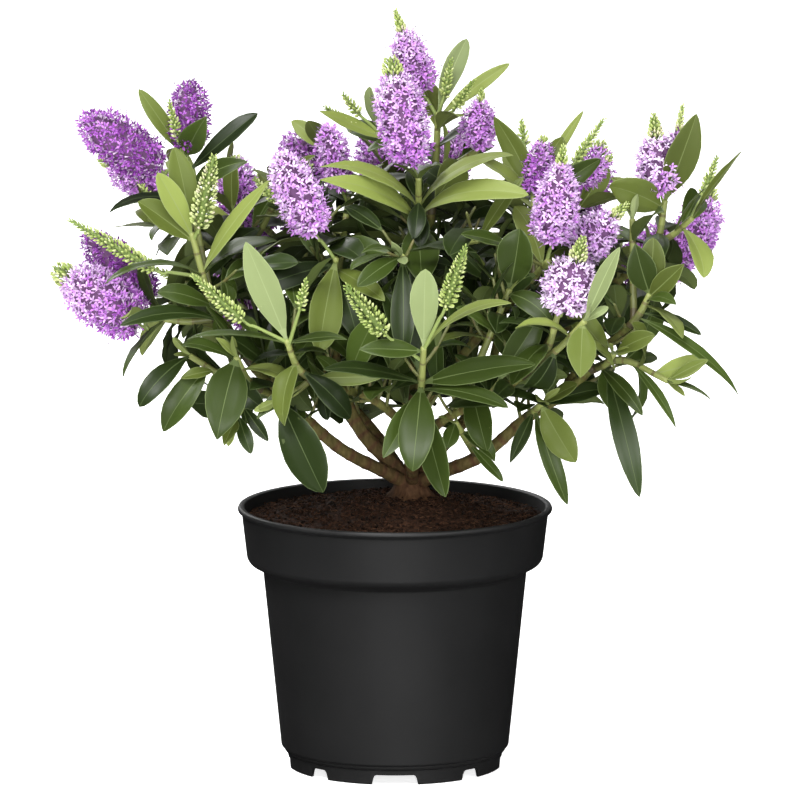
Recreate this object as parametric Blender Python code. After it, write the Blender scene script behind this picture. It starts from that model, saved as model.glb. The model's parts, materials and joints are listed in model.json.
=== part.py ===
"""A flowering hebe shrub in the nursery pot that it is sold in.

Sizes are millimetres, and become metres where each mesh is made. The origin is on
the ground under the middle of the pot, +Z is up and the front of the plant faces -Y.
"""

import math
import random
from dataclasses import dataclass

import bmesh
import bpy
from mathutils import Matrix, Vector
from mathutils.bvhtree import BVHTree

METRES = 0.001
GAP = 0.3

# Pot
POT_HEIGHT = 159.0
LIP_RADIUS = 95.0
COLLAR_RADIUS = 92.4
COLLAR_DEPTH = 32.0
WAIST_RADIUS = 79.6
BODY_FOOT_RADIUS = 68.7
FOOT_RADIUS = 64.6
FOOT_HEIGHT = 11.0
WALL = 1.7
FLOOR_HEIGHT = 7.0
NOTCH_HEIGHT = 6.0
WIDE_NOTCH = 28.0
NARROW_NOTCH = 14.0
NOTCHES = 8
POT_SEGMENTS = 36

# Soil
SOIL_AT_WALL = 150.0
SOIL_TOP = 163.0
SOIL_SEGMENTS = 20

# Stem base, where every stem comes from
BASE_CENTRE = (10.0, 4.0)
FLARE_RADIUS = 15.0
BASE_HEIGHT = 15.0
BASE_SIDES = 12
BASE_RINGS = ((0.0, 1.0), (0.22, 0.78), (0.6, 0.6), (1.0, 0.45))
BASE_LOBES = 4
LOBE_DEPTH = 0.1
LOBE_TURN = 0.6
BASE_LEAN = 1.5
FORK_HEIGHT = 7.0
FORK_REACH = 18.5

# Limbs and twigs
LIMB_SIDES = 6
LIMB_RINGS = 5
TWIG_SIDES = 3
TWIG_RINGS = 3
MASS_STEM_RADIUS = 2.7
STEM_LEAVE = 0.45
FORK_SWELL = 0.6
SHOOT_RADIUS = 2.3
SHOOT_TIP_RADIUS = 1.8
SHOOT_SAG = 0.12
SEAT_STEP = 0.1

# The crown's space: a mass keeps within REACH of its stem's tip
CLEARANCE = 0.7
REACH = 120.0
CROWN_LEFT = -203.5
CROWN_RIGHT = 207.0
CROWN_DEPTH = 160.0
TRIES = 4
NUDGE = 0.8

# Leaves: angles in degrees, sizes as shares of a shoot's leaf length
LEAF_WIDTH = 0.37
LEAF_KEEL = 1.3
LEAF_FOLD = 0.12
LEAF_ROOT = 0.5
LEAF_SECTIONS = ((0.0, 0.05), (0.54, 0.58))
LEAFY_SHARE = 0.82
TOP_SIZES = (0.66, 0.88)
LOW_SIZES = (0.92, 1.04)
TOP_LEAN = 26.0
MORE_LEAN = 58.0
TOP_ARCH = 14.0
MORE_ARCH = 46.0
LEAN_DRIFT = 6.0
ARCH_DRIFT = 8.0
BEARING_DRIFT = 8.0
DROOP_IN_LEAN = 0.6
SKYWARD = 0.6
LEAF_SEED = 500

# Side shoots and spikes that no view fixes
WILD_FROM = 0.25
WILD_SPREAD = 0.4
WILD_TURN = 80.0
WILD_TURN_DRIFT = 15.0
WILD_OUT = (34.0, 46.0)
WILD_UP = (24.0, 44.0)
WILD_LEAVES = (46.0, 56.0)
WILD_PAIRS = 3
WILD_DROOP = 25.0
WILD_TOP = 362.0
WILD_SWAY = 0.5
WILD_RISE = (0.1, 0.7)
IN_BUD_EVERY = 3
WILD_SEED = 100

# Flower spikes, in flower and in bud
STALK_RADIUS = 1.0
STALK_SHARE = 0.92
STALK_SINK = 2.0
STALK_BEND = 0.15
MOST_FLOWER = 0.94
SPIKE_SIDES = 5
SPIKE_RINGS = ((0.0, 0.2), (0.22, 1.0), (0.72, 0.82))
SPIKE_RADIUS = 14.0
SPIKE_LENGTHS = (44.0, 60.0)
SPIKE_STALK = 14.0
OPEN_PARTS = (0.7, 0.85, 1.0)
BUD_SIDES = 3
BUD_RINGS = ((0.0, 0.3), (0.36, 1.15))
BUD_RADIUS = 4.5
BUD_LENGTH = 30.0

# Meshes
FLAT_WITHIN = 0.5
CUBE_FACES = ((3, 2, 1, 0), (4, 5, 6, 7), (0, 1, 5, 4), (1, 2, 6, 5), (2, 3, 7, 6), (3, 0, 4, 7))


@dataclass
class Limb:
    """A bough. It starts on its parent, at a share of the parent's length."""

    name: str
    parent: str
    share: float
    radius: float
    tip_radius: float
    points: tuple


@dataclass
class Mass:
    """A mass of foliage on the tip of a limb, or on its side at a share of its length."""

    name: str
    limb: str
    share: float
    shoots: tuple
    spikes: tuple = ()
    leaves: tuple = ()
    wild: int = 0


@dataclass
class Leaf:
    base: Vector
    along: Vector
    up: Vector
    length: float
    width: float
    arch: float


# Each limb: name, parent, share along the parent, radius, tip radius and the points it passes
LIMBS = (
    Limb(
        "bough_left", "stem_base", 0, 4.0, 2.7,
        ((-31, -22, 196), (-53, -30, 216), (-67, -34, 229), (-86, -37, 251)),
    ),
    Limb("bough_left_low", "bough_left", 0.62, 2.5, 2.1, ((-72, -48, 234), (-80, -60, 239))),
    Limb(
        "bough_upper_left", "stem_base", 0, 4.6, 2.8,
        ((-20, 10, 202), (-31, 15, 224), (-36, 6, 250), (-36, -12, 276)),
    ),
    Limb(
        "bough_left_back", "bough_upper_left", 0.4, 3.2, 2.4,
        ((-52, 30, 252), (-68, 40, 272), (-78, 46, 288)),
    ),
    Limb("bough_top", "stem_base", 0, 4.4, 2.8, ((10, 12, 205), (13, 16, 250), (14, 8, 300))),
    Limb("bough_top_back", "bough_top", 0.62, 2.8, 2.2, ((18, 34, 290), (22, 40, 330))),
    Limb("bough_upper_right", "bough_top", 0.3, 3.0, 2.3, ((38, -4, 248), (60, -12, 274), (72, -17, 288))),
    Limb("bough_front", "stem_base", 0, 3.6, 2.8, ((11, -34, 196), (13, -58, 215))),
    Limb(
        "bough_front_left", "bough_front", 0.45, 2.8, 2.2,
        ((2, -44, 218), (-14, -54, 233), (-31, -68, 241), (-46, -78, 247)),
    ),
    Limb(
        "bough_centre_right", "bough_front", 0.6, 2.8, 2.3,
        ((32, -58, 223), (48, -66, 231), (75, -74, 249)),
    ),
    Limb(
        "bough_right", "stem_base", 0, 4.2, 2.6,
        ((53, -18, 193), (77, -26, 215), (100, -30, 231), (116, -32, 246)),
    ),
    Limb(
        "bough_right_upper", "bough_right", 0.72, 2.6, 2.2,
        ((114, -18, 250), (130, -20, 262), (140, -26, 272)),
    ),
    Limb("bough_back_left", "stem_base", 0, 3.8, 2.6, ((-20, 42, 205), (-44, 60, 224), (-60, 72, 238))),
    Limb("bough_back_left_upper", "bough_back_left", 0.5, 2.8, 2.2, ((-46, 66, 256), (-54, 72, 282))),
    Limb("bough_back", "stem_base", 0, 3.8, 2.6, ((12, 50, 200), (12, 70, 216), (8, 86, 232))),
    Limb("bough_back_upper", "bough_back", 0.45, 2.8, 2.2, ((2, 74, 262), (-2, 80, 296))),
    Limb("bough_back_right", "stem_base", 0, 4.0, 2.6, ((42, 38, 204), (66, 58, 226), (84, 72, 240))),
    Limb("bough_back_right_upper", "bough_back_right", 0.5, 2.8, 2.2, ((64, 64, 258), (68, 74, 286))),
    Limb(
        "bough_far_right", "bough_back_right", 0.25, 3.2, 2.3,
        ((84, 30, 244), (122, 20, 282), (146, 14, 302)),
    ),
    Limb("bough_right_back", "bough_back_right", 0.7, 2.4, 2.0, ((110, 60, 248), (132, 58, 262))),
)

# Each shoot: share along the mass's stem, tip, its first leaf pair and how many pairs it
# is divided for, leaf length, bearing of its top pair in degrees (0 is across, 90 is fore
# and aft), and droop of its lowest pair. The first shoot of a mass is its stem, and has
# no share. Each spike: shoot, share along it, tip, length in flower, radius, open part.
# Each set leaf: shoot, share along it, tip, width, arch in degrees, and how far its
# upper side turns from up (0) to the front (90).
MASSES = (
    Mass(
        "foliage_front", "bough_front", 1,
        shoots=((None, (17, -112, 273), 3, 5, 56, 45, 60),),
        spikes=(
            (0, 0.85, (-29, -126, 312), 40, 7, 0),
            (0, 0.97, (41, -159, 340), 47, 6, 0),
        ),
        leaves=(
            (0, 1.0, (17, -118, 321), 17, 8, 90),
            (0, 0.98, (68, -130, 304), 10, 60, 25),
            (0, 0.96, (-21, -120, 272), 13, 20, 50),
            (0, 0.62, (-42, -122, 264), 14, 25, 40),
            (0, 0.62, (82, -122, 266), 19, 20, 60),
            (0, 0.55, (66, -130, 240), 13, 40, 45),
            (0, 0.6, (10, -138, 205), 22, 25, 90),
            (0, 0.5, (-4, -124, 208), 15, 30, 70),
            (0, 0.42, (29, -118, 184), 17, 25, 90),
        ),
    ),
    Mass(
        "foliage_front_left", "bough_front_left", 1,
        shoots=(
            (None, (-64, -96, 275), 2, 4, 48, 70, 30),
            (0.12, (-70, -94, 238), 1, 2, 34, 20, 60),
        ),
        spikes=(
            (0, 0.96, (-119, -112, 316), 42, 5.5, 0),
            (0, 0.9, (-52, -122, 315), 22, 4, 0),
        ),
        leaves=(
            (0, 1.0, (-87, -110, 336), 19, 6, 88),
            (0, 0.95, (-123, -106, 277), 11, 35, 25),
            (0, 0.95, (-28, -112, 280), 9, 15, 30),
            (0, 0.12, (-6, -92, 251), 11, 15, 60),
            (0, 0.1, (-84, -96, 230), 10, 20, 30),
            (1, 0.9, (-43, -114, 186), 26, 22, 85),
        ),
    ),
    Mass(
        "foliage_upper_left", "bough_upper_left", 1,
        shoots=(
            (None, (-35, -60, 318), 1, 4, 52, 80, 40),
            (0.6, (-60, -18, 345), 0, 4, 50, 30, 10),
            (0.45, (-28, 18, 343), 0, 4, 52, 0, 10),
        ),
        spikes=(
            (0, 0.97, (-68, -72, 383), 54, 14.5, 1.0),
            (2, 0.95, (-41, -6, 390), 42, 11, 0.9),
            (1, 0.95, (-50, -40, 371), 26, 4, 0),
            (1, 0.8, (-84, -30, 362), 20, 3.5, 0),
        ),
        leaves=(
            (0, 0.96, (-48, -90, 268), 21, 18, 82),
            (0, 0.9, (-84, -78, 300), 16, 30, 50),
            (0, 0.8, (-8, -88, 296), 14, 30, 50),
        ),
    ),
    Mass(
        "foliage_top", "bough_top", 1,
        shoots=(
            (None, (14, -28, 362), 2, 4, 56, 45, 40),
            (0.3, (50, -26, 324), 1, 3, 44, 30, 10),
            (0.15, (4, -64, 320), 1, 3, 44, 60, 30),
        ),
        spikes=((0, 0.98, (-3, -22, 433), 66, 16, 0.78),),
        leaves=(
            (0, 0.66, (-44, -46, 376), 14, 60, 40),
            (0, 0.52, (-44, -58, 368), 15, 42, 50),
            (0, 0.68, (69, -46, 384), 15, 50, 40),
            (0, 0.54, (80, -50, 356), 15, 75, 45),
            (0, 0.98, (-2, -38, 374), 12, 30, 20),
            (0, 0.98, (25, -38, 374), 12, 30, 20),
            (0, 0.5, (15, -62, 305), 23, 14, 88),
            (1, 1.0, (70, -52, 364), 10, 5, 60),
            (2, 0.95, (6, -100, 267), 15, 20, 80),
            (2, 0.98, (-22, -92, 306), 12, 50, 60),
            (2, 0.98, (-20, -86, 326), 8, 60, 20),
        ),
    ),
    Mass(
        "foliage_top_back", "bough_top_back", 1,
        shoots=(
            (None, (26, 30, 393), 1, 5, 48, 20, 10),
            (0.45, (50, 22, 372), 0, 4, 48, 60, 10),
            (0.35, (-8, 32, 380), 0, 4, 46, 30, 10),
        ),
        spikes=(
            (0, 0.95, (0, 30, 455), 52, 12, 0.7),
            (1, 0.95, (52, 15, 409), 38, 12, 0.8),
            (0, 0.9, (47, 6, 416), 26, 4, 0),
            (0, 0.97, (34, 28, 426), 24, 4, 0),
            (2, 0.95, (-42, 20, 398), 24, 4, 0),
            (2, 0.9, (-31, 24, 405), 16, 4, 0),
        ),
        leaves=(
            (0, 1.0, (38, 34, 440), 13, 5, 88),
            (0, 0.96, (67, 20, 426), 9, 5, 50),
            (2, 0.9, (-50, 16, 389), 11, 25, 40),
        ),
    ),
    Mass(
        "foliage_left", "bough_left", 1,
        shoots=(
            (None, (-121, -50, 332), 2, 6, 52, 35, 30),
            (0.55, (-125, -20, 374), 1, 4, 46, 60, 20),
            (0.4, (-146, -46, 281), 0, 4, 50, 20, 10),
            (0.3, (-138, 10, 284), 0, 4, 48, 40, 10),
        ),
        spikes=(
            (0, 0.95, (-107, -68, 381), 48, 7.5, 0),
            (1, 0.95, (-122, -22, 419), 40, 13, 1.0),
            (1, 0.9, (-187, -15, 397), 56, 16, 0.9),
            (1, 0.98, (-134, -38, 409), 28, 4, 0),
            (0, 0.7, (-193, -58, 341), 60, 5.5, 0),
            (2, 0.95, (-203, -32, 308), 72, 18, 0.85),
            (3, 0.95, (-186, 10, 322), 56, 14, 1.0),
        ),
        leaves=(
            (0, 1.0, (-126, -58, 385), 16, 10, 85),
            (0, 0.96, (-138, -66, 372), 14, 12, 75),
            (0, 0.94, (-152, -62, 353), 16, 15, 65),
            (0, 0.74, (-70, -66, 366), 11, 30, 40),
            (0, 0.7, (-172, -76, 306), 10, 80, 30),
            (0, 0.35, (-164, -80, 284), 11, 50, 35),
            (0, 0.5, (-140, -66, 300), 13, 30, 50),
            (1, 1.0, (-115, -48, 402), 16, 20, 75),
            (1, 0.9, (-80, -28, 399), 13, 30, 60),
            (1, 0.8, (-88, -42, 376), 13, 40, 50),
            (1, 1.0, (-153, -28, 415), 11, 10, 75),
            (1, 0.7, (-172, -34, 343), 9, 70, 30),
        ),
    ),
    Mass(
        "foliage_left_low", "bough_left_low", 1,
        shoots=(
            (None, (-94, -78, 262), 1, 3, 38, 60, 60),
            (0.3, (-94, -80, 226), 0, 1, 22, 30, 60),
            (0.3, (-122, -50, 258), 1, 3, 44, 40, 50),
        ),
        leaves=(
            (0, 0.98, (-108, -104, 217), 25, 30, 72),
            (1, 0.9, (-86, -94, 206), 9, 20, 60),
            (1, 0.6, (-76, -88, 212), 8, 20, 60),
            (1, 1.0, (-100, -98, 212), 9, 25, 60),
            (2, 1.0, (-153, -80, 233), 14, 60, 50),
            (2, 0.7, (-138, -66, 214), 17, 60, 50),
            (2, 0.6, (-128, -64, 248), 8, 20, 60),
        ),
    ),
    Mass(
        "foliage_left_back", "bough_left_back", 1,
        shoots=(
            (None, (-98, 38, 332), 0, 5, 52, 60, 10),
            (0.4, (-138, 24, 326), 0, 4, 50, 20, 20),
            (0.5, (-70, 22, 346), 0, 3, 50, 40, 10),
        ),
        spikes=((0, 0.9, (-96, 84, 358), 46, 13, 0.9), (1, 0.9, (-156, 54, 350), 26, 4, 0)),
        wild=1,
    ),
    Mass(
        "foliage_centre", "bough_centre_right", 0.45,
        shoots=((None, (68, -62, 300), 1, 4, 44, 20, 40),),
        leaves=(
            (0, 1.0, (76, -70, 337), 23, 5, 90),
            (0, 0.96, (98, -86, 283), 14, 60, 50),
            (0, 0.8, (58, -98, 280), 14, 30, 70),
            (0, 0.2, (54, -94, 208), 17, 60, 88),
        ),
    ),
    Mass(
        "foliage_centre_right", "bough_centre_right", 1,
        shoots=(
            (None, (97, -86, 291), 1, 4, 46, 60, 30),
            (0.2, (112, -100, 287), 1, 3, 44, 90, 50),
        ),
        spikes=((0, 0.95, (111, -94, 336), 50, 17, 0.72),),
        leaves=(
            (1, 0.96, (108, -118, 256), 18, 14, 88),
            (1, 1.0, (131, -108, 333), 11, 10, 60),
        ),
    ),
    Mass(
        "foliage_right_low", "bough_right", 1,
        shoots=(
            (None, (162, -56, 244), 1, 5, 44, 90, 30),
            (0.1, (130, -66, 262), 0, 3, 48, 30, 50),
        ),
        leaves=(
            (0, 0.25, (146, -94, 181), 15, 30, 75),
            (0, 0.15, (147, -74, 227), 10, 40, 50),
            (0, 0.6, (166, -72, 218), 7, 60, 45),
            (0, 1.0, (186, -62, 259), 8, 5, 45),
            (0, 0.95, (188, -72, 237), 6, 20, 30),
            (0, 0.2, (134, -46, 222), 16, 20, 50),
        ),
    ),
    Mass(
        "foliage_right_inner", "bough_right", 0.5,
        shoots=((None, (88, -52, 230), 0, 2, 44, 30, 60),),
        leaves=(
            (0, 0.9, (106, -62, 194), 19, 10, 90),
            (0, 0.5, (97, -74, 172), 12, 40, 60),
            (0, 0.4, (70, -54, 193), 9, 40, 60),
        ),
    ),
    Mass(
        "foliage_right_foot", "bough_right", 0.22,
        shoots=((None, (36, -52, 218), 1, 3, 34, 60, 60),),
        leaves=(
            (0, 1.0, (31, -66, 205), 10, 20, 80),
            (0, 0.3, (64, -44, 180), 7, 30, 60),
        ),
    ),
    Mass(
        "foliage_right", "bough_right_upper", 1,
        shoots=(
            (None, (152, -30, 292), 1, 3, 46, 50, 40),
            (0.2, (142, -8, 334), 0, 4, 48, 20, 20),
        ),
        leaves=(
            (0, 1.0, (141, -38, 323), 18, 8, 85),
            (0, 0.96, (156, -36, 327), 16, 8, 85),
            (0, 0.9, (173, -44, 312), 13, 12, 75),
            (0, 0.8, (168, -52, 290), 10, 70, 35),
            (0, 0.35, (206, -66, 240), 9, 45, 45),
            (0, 0.5, (183, -40, 269), 8, 45, 35),
        ),
    ),
    Mass(
        "foliage_far_right", "bough_far_right", 1,
        shoots=(
            (None, (162, 8, 343), 1, 4, 46, 70, 20),
            (0.4, (178, -2, 334), 0, 3, 48, 20, 30),
        ),
        spikes=(
            (0, 0.95, (155, 10, 395), 48, 15, 0.72),
            (0, 0.9, (173, 26, 399), 36, 7, 0.45),
            (1, 0.95, (193, 4, 370), 25, 4, 0),
        ),
        leaves=(
            (0, 0.9, (127, -8, 354), 21, 60, 65),
            (0, 1.0, (181, -10, 397), 20, 8, 88),
            (1, 0.96, (206, -10, 377), 8, 5, 25),
            (1, 0.5, (184, -14, 353), 9, 20, 25),
        ),
    ),
    Mass(
        "foliage_upper_right", "bough_upper_right", 1,
        shoots=(
            (None, (91, -48, 315), 1, 4, 48, 30, 20),
            (0.5, (83, 2, 348), 0, 5, 50, 40, 10),
        ),
        spikes=(
            (0, 0.95, (100, -56, 385), 60, 15, 0.95),
            (1, 0.97, (89, 2, 382), 34, 10, 0.9),
            (0, 0.7, (139, -18, 345), 44, 14, 0.7),
            (1, 0.85, (125, 4, 393), 32, 4, 0),
            (1, 0.9, (130, 18, 368), 26, 9, 0.8),
            (1, 0.9, (76, 20, 390), 16, 4, 0),
        ),
        leaves=(
            (1, 1.0, (67, 8, 397), 15, 8, 85),
            (1, 0.9, (96, 12, 385), 10, 40, 40),
            (1, 0.95, (109, 20, 401), 6, 5, 60),
            (1, 0.8, (118, -8, 376), 14, 20, 60),
        ),
    ),
    Mass(
        "foliage_back_left_low", "bough_back_left", 1,
        shoots=((None, (-84, 92, 258), 0, 4, 52, 30, 50),),
        wild=2,
    ),
    Mass(
        "foliage_back_left", "bough_back_left_upper", 1,
        shoots=((None, (-66, 86, 322), 0, 4, 52, 60, 20),),
        wild=2,
    ),
    Mass(
        "foliage_back_low", "bough_back", 1,
        shoots=((None, (4, 112, 258), 0, 4, 52, 70, 50),),
        wild=2,
    ),
    Mass(
        "foliage_back", "bough_back_upper", 1,
        shoots=((None, (-4, 94, 348), 0, 4, 52, 20, 20),),
        wild=3,
    ),
    Mass(
        "foliage_back_right_low", "bough_back_right", 1,
        shoots=((None, (104, 92, 260), 0, 4, 52, 50, 50),),
        wild=2,
    ),
    Mass(
        "foliage_back_right", "bough_back_right_upper", 1,
        shoots=((None, (80, 86, 326), 0, 4, 52, 40, 20),),
        wild=2,
    ),
    Mass(
        "foliage_right_back", "bough_right_back", 1,
        shoots=((None, (154, 62, 292), 0, 4, 50, 20, 30),),
        wild=1,
    ),
)


def unit(vector):
    return vector.normalized()


def across(direction):
    """A unit vector square to the direction, as near to +X as it can be."""
    side = Vector((1, 0, 0)) - direction * direction.x
    if side.length < 0.2:
        side = Vector((0, -1, 0)) + direction * direction.y
    return unit(side)


def through(points, count):
    """Points read from a smooth curve through the given points, evenly by step."""
    ends = [points[0] * 2 - points[1], *points, points[-1] * 2 - points[-2]]
    path = []
    for step in range(count):
        place = step / (count - 1) * (len(points) - 1)
        i = min(int(place), len(points) - 2)
        t = place - i
        a, b, c, d = ends[i : i + 4]
        square, cube = 2 * a - 5 * b + 4 * c - d, 3 * b - a - 3 * c + d
        path.append(0.5 * (2 * b + (c - a) * t + square * t**2 + cube * t**3))
    return path


def bent(start, control, end, count):
    """Points along the curve that leaves start towards control and comes to end."""
    path = []
    for step in range(count):
        t = step / (count - 1)
        path.append(start * (1 - t) ** 2 + control * 2 * t * (1 - t) + end * t * t)
    return path


def sagging(start, tip):
    """A side shoot's path, which leaves low and turns up to its tip."""
    control = start.lerp(tip, 0.5) - Vector((0, 0, SHOOT_SAG * (tip - start).length))
    return bent(start, control, tip, TWIG_RINGS)


def point_at(path, share):
    """The point and the direction at a share of the path's steps."""
    place = min(max(share, 0), 1) * (len(path) - 1)
    i = min(int(place), len(path) - 2)
    return path[i].lerp(path[i + 1], place - i), unit(path[i + 1] - path[i])


def tube(path, radii, sides, first=None):
    """A closed solid round the path, with flat ends. The first end may face its own way."""
    points, faces = [], []
    side = across(first or unit(path[1] - path[0]))
    for i, centre in enumerate(path):
        direction = unit(path[min(i + 1, len(path) - 1)] - path[max(i - 1, 0)])
        if i == 0 and first:
            direction = first
        side = unit(side - direction * side.dot(direction))
        other = direction.cross(side)
        for k in range(sides):
            angle = 2 * math.pi * k / sides
            points.append(centre + (side * math.cos(angle) + other * math.sin(angle)) * radii[i])
    for i in range(len(path) - 1):
        for k in range(sides):
            a, b = i * sides + k, i * sides + (k + 1) % sides
            faces.append((a, b, b + sides, a + sides))
    faces.append(tuple(reversed(range(sides))))
    faces.append(tuple(range(len(points) - sides, len(points))))
    return points, faces


def tapered(start, end, count):
    return [start + (end - start) * i / (count - 1) for i in range(count)]


def spindle(start, end, radius, rings, sides):
    """A closed solid with a ring at each share of its length, ending in a point."""
    direction = unit(end - start)
    side = across(direction)
    other = direction.cross(side)
    points, faces = [], []
    for row, (share, size) in enumerate(rings):
        for k in range(sides):
            angle = 2 * math.pi * (k + 0.5 * (row % 2)) / sides
            place = side * math.cos(angle) + other * math.sin(angle)
            points.append(start.lerp(end, share) + place * radius * size)
    points.append(end)
    for row in range(len(rings) - 1):
        for k in range(sides):
            a, b = row * sides + k, row * sides + (k + 1) % sides
            if row % 2:
                faces += [(a, b, b + sides), (a, b + sides, a + sides)]
            else:
                faces += [(a, b, a + sides), (b, b + sides, a + sides)]
    last = (len(rings) - 1) * sides
    for k in range(sides):
        faces.append((last + k, last + (k + 1) % sides, len(points) - 1))
    faces.append(tuple(reversed(range(sides))))
    return points, faces


def leaf_solid(leaf, swell=0.0):
    """A keeled blade that arches over towards its underside, swollen by some clearance."""
    side = leaf.along.cross(leaf.up)
    bend = math.radians(max(leaf.arch, 1))
    points = []
    for share, half_width in (*LEAF_SECTIONS, (1.0, 0)):
        turn = bend * share
        run, fall = math.sin(turn) / bend, (1 - math.cos(turn)) / bend
        centre = leaf.base + (leaf.along * run - leaf.up * fall) * leaf.length
        up = leaf.up * math.cos(turn) + leaf.along * math.sin(turn)
        if share == 1.0:
            points.append(centre + (leaf.along * math.cos(turn) - leaf.up * math.sin(turn)) * swell)
            continue
        half = half_width * leaf.width + swell
        rim = centre + up * (LEAF_FOLD * half + swell)
        points += [rim - side * half, rim + side * half, centre - up * (LEAF_KEEL + swell)]
    faces = [(0, 1, 2)]
    faces += [(0, 3, 4, 1), (1, 4, 5, 2), (2, 5, 3, 0)]
    faces += [(3, 6, 4), (4, 6, 5), (5, 6, 3)]
    return points, faces


def set_leaf(base, tip, width, arch, face):
    """A leaf from its base to its tip, arched by some degrees and turned to the front."""
    chord = tip - base
    way = unit(chord)
    turn = math.radians(face)
    up = Vector((0, -math.sin(turn), math.cos(turn)))
    up = unit(up - way * up.dot(way))
    half = math.radians(max(arch, 1)) / 2
    along = way * math.cos(half) + up * math.sin(half)
    length = chord.length * half / math.sin(half)
    up = up * math.cos(half) - way * math.sin(half)
    return Leaf(base - along * LEAF_ROOT, along, up, length, width, arch)


def leaf_of_pair(place, bearing, pair, low, length, droop, rng):
    """A leaf by rule. The top pair is small and upright, and the lowest spreads and droops."""
    point, direction = place
    turn = math.radians(bearing)
    side = across(direction)
    out = side * math.cos(turn) + direction.cross(side) * math.sin(turn)
    lean = TOP_LEAN + (MORE_LEAN + DROOP_IN_LEAN * droop) * low + rng.uniform(-LEAN_DRIFT, LEAN_DRIFT)
    lean = math.radians(lean)
    along = direction * math.cos(lean) + out * math.sin(lean)
    up = direction * math.sin(lean) - out * math.cos(lean)
    up = unit(up + (Vector((0, 0, 1)) - along * along.z) * SKYWARD)
    up = unit(up - along * up.dot(along))
    size = length * (TOP_SIZES[pair] if pair < len(TOP_SIZES) else rng.uniform(*LOW_SIZES))
    arch = TOP_ARCH + (MORE_ARCH + droop) * low + rng.uniform(-ARCH_DRIFT, ARCH_DRIFT)
    return Leaf(point - along * LEAF_ROOT, along, up, size, size * LEAF_WIDTH, arch)


def in_crown(points):
    """Whether every point lies within the crown's width and depth."""
    return all(CROWN_LEFT <= p.x <= CROWN_RIGHT and abs(p.y) <= CROWN_DEPTH for p in points)


def tree_of(solid):
    points, faces = solid
    return BVHTree.FromPolygons([tuple(p) for p in points], faces)


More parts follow.
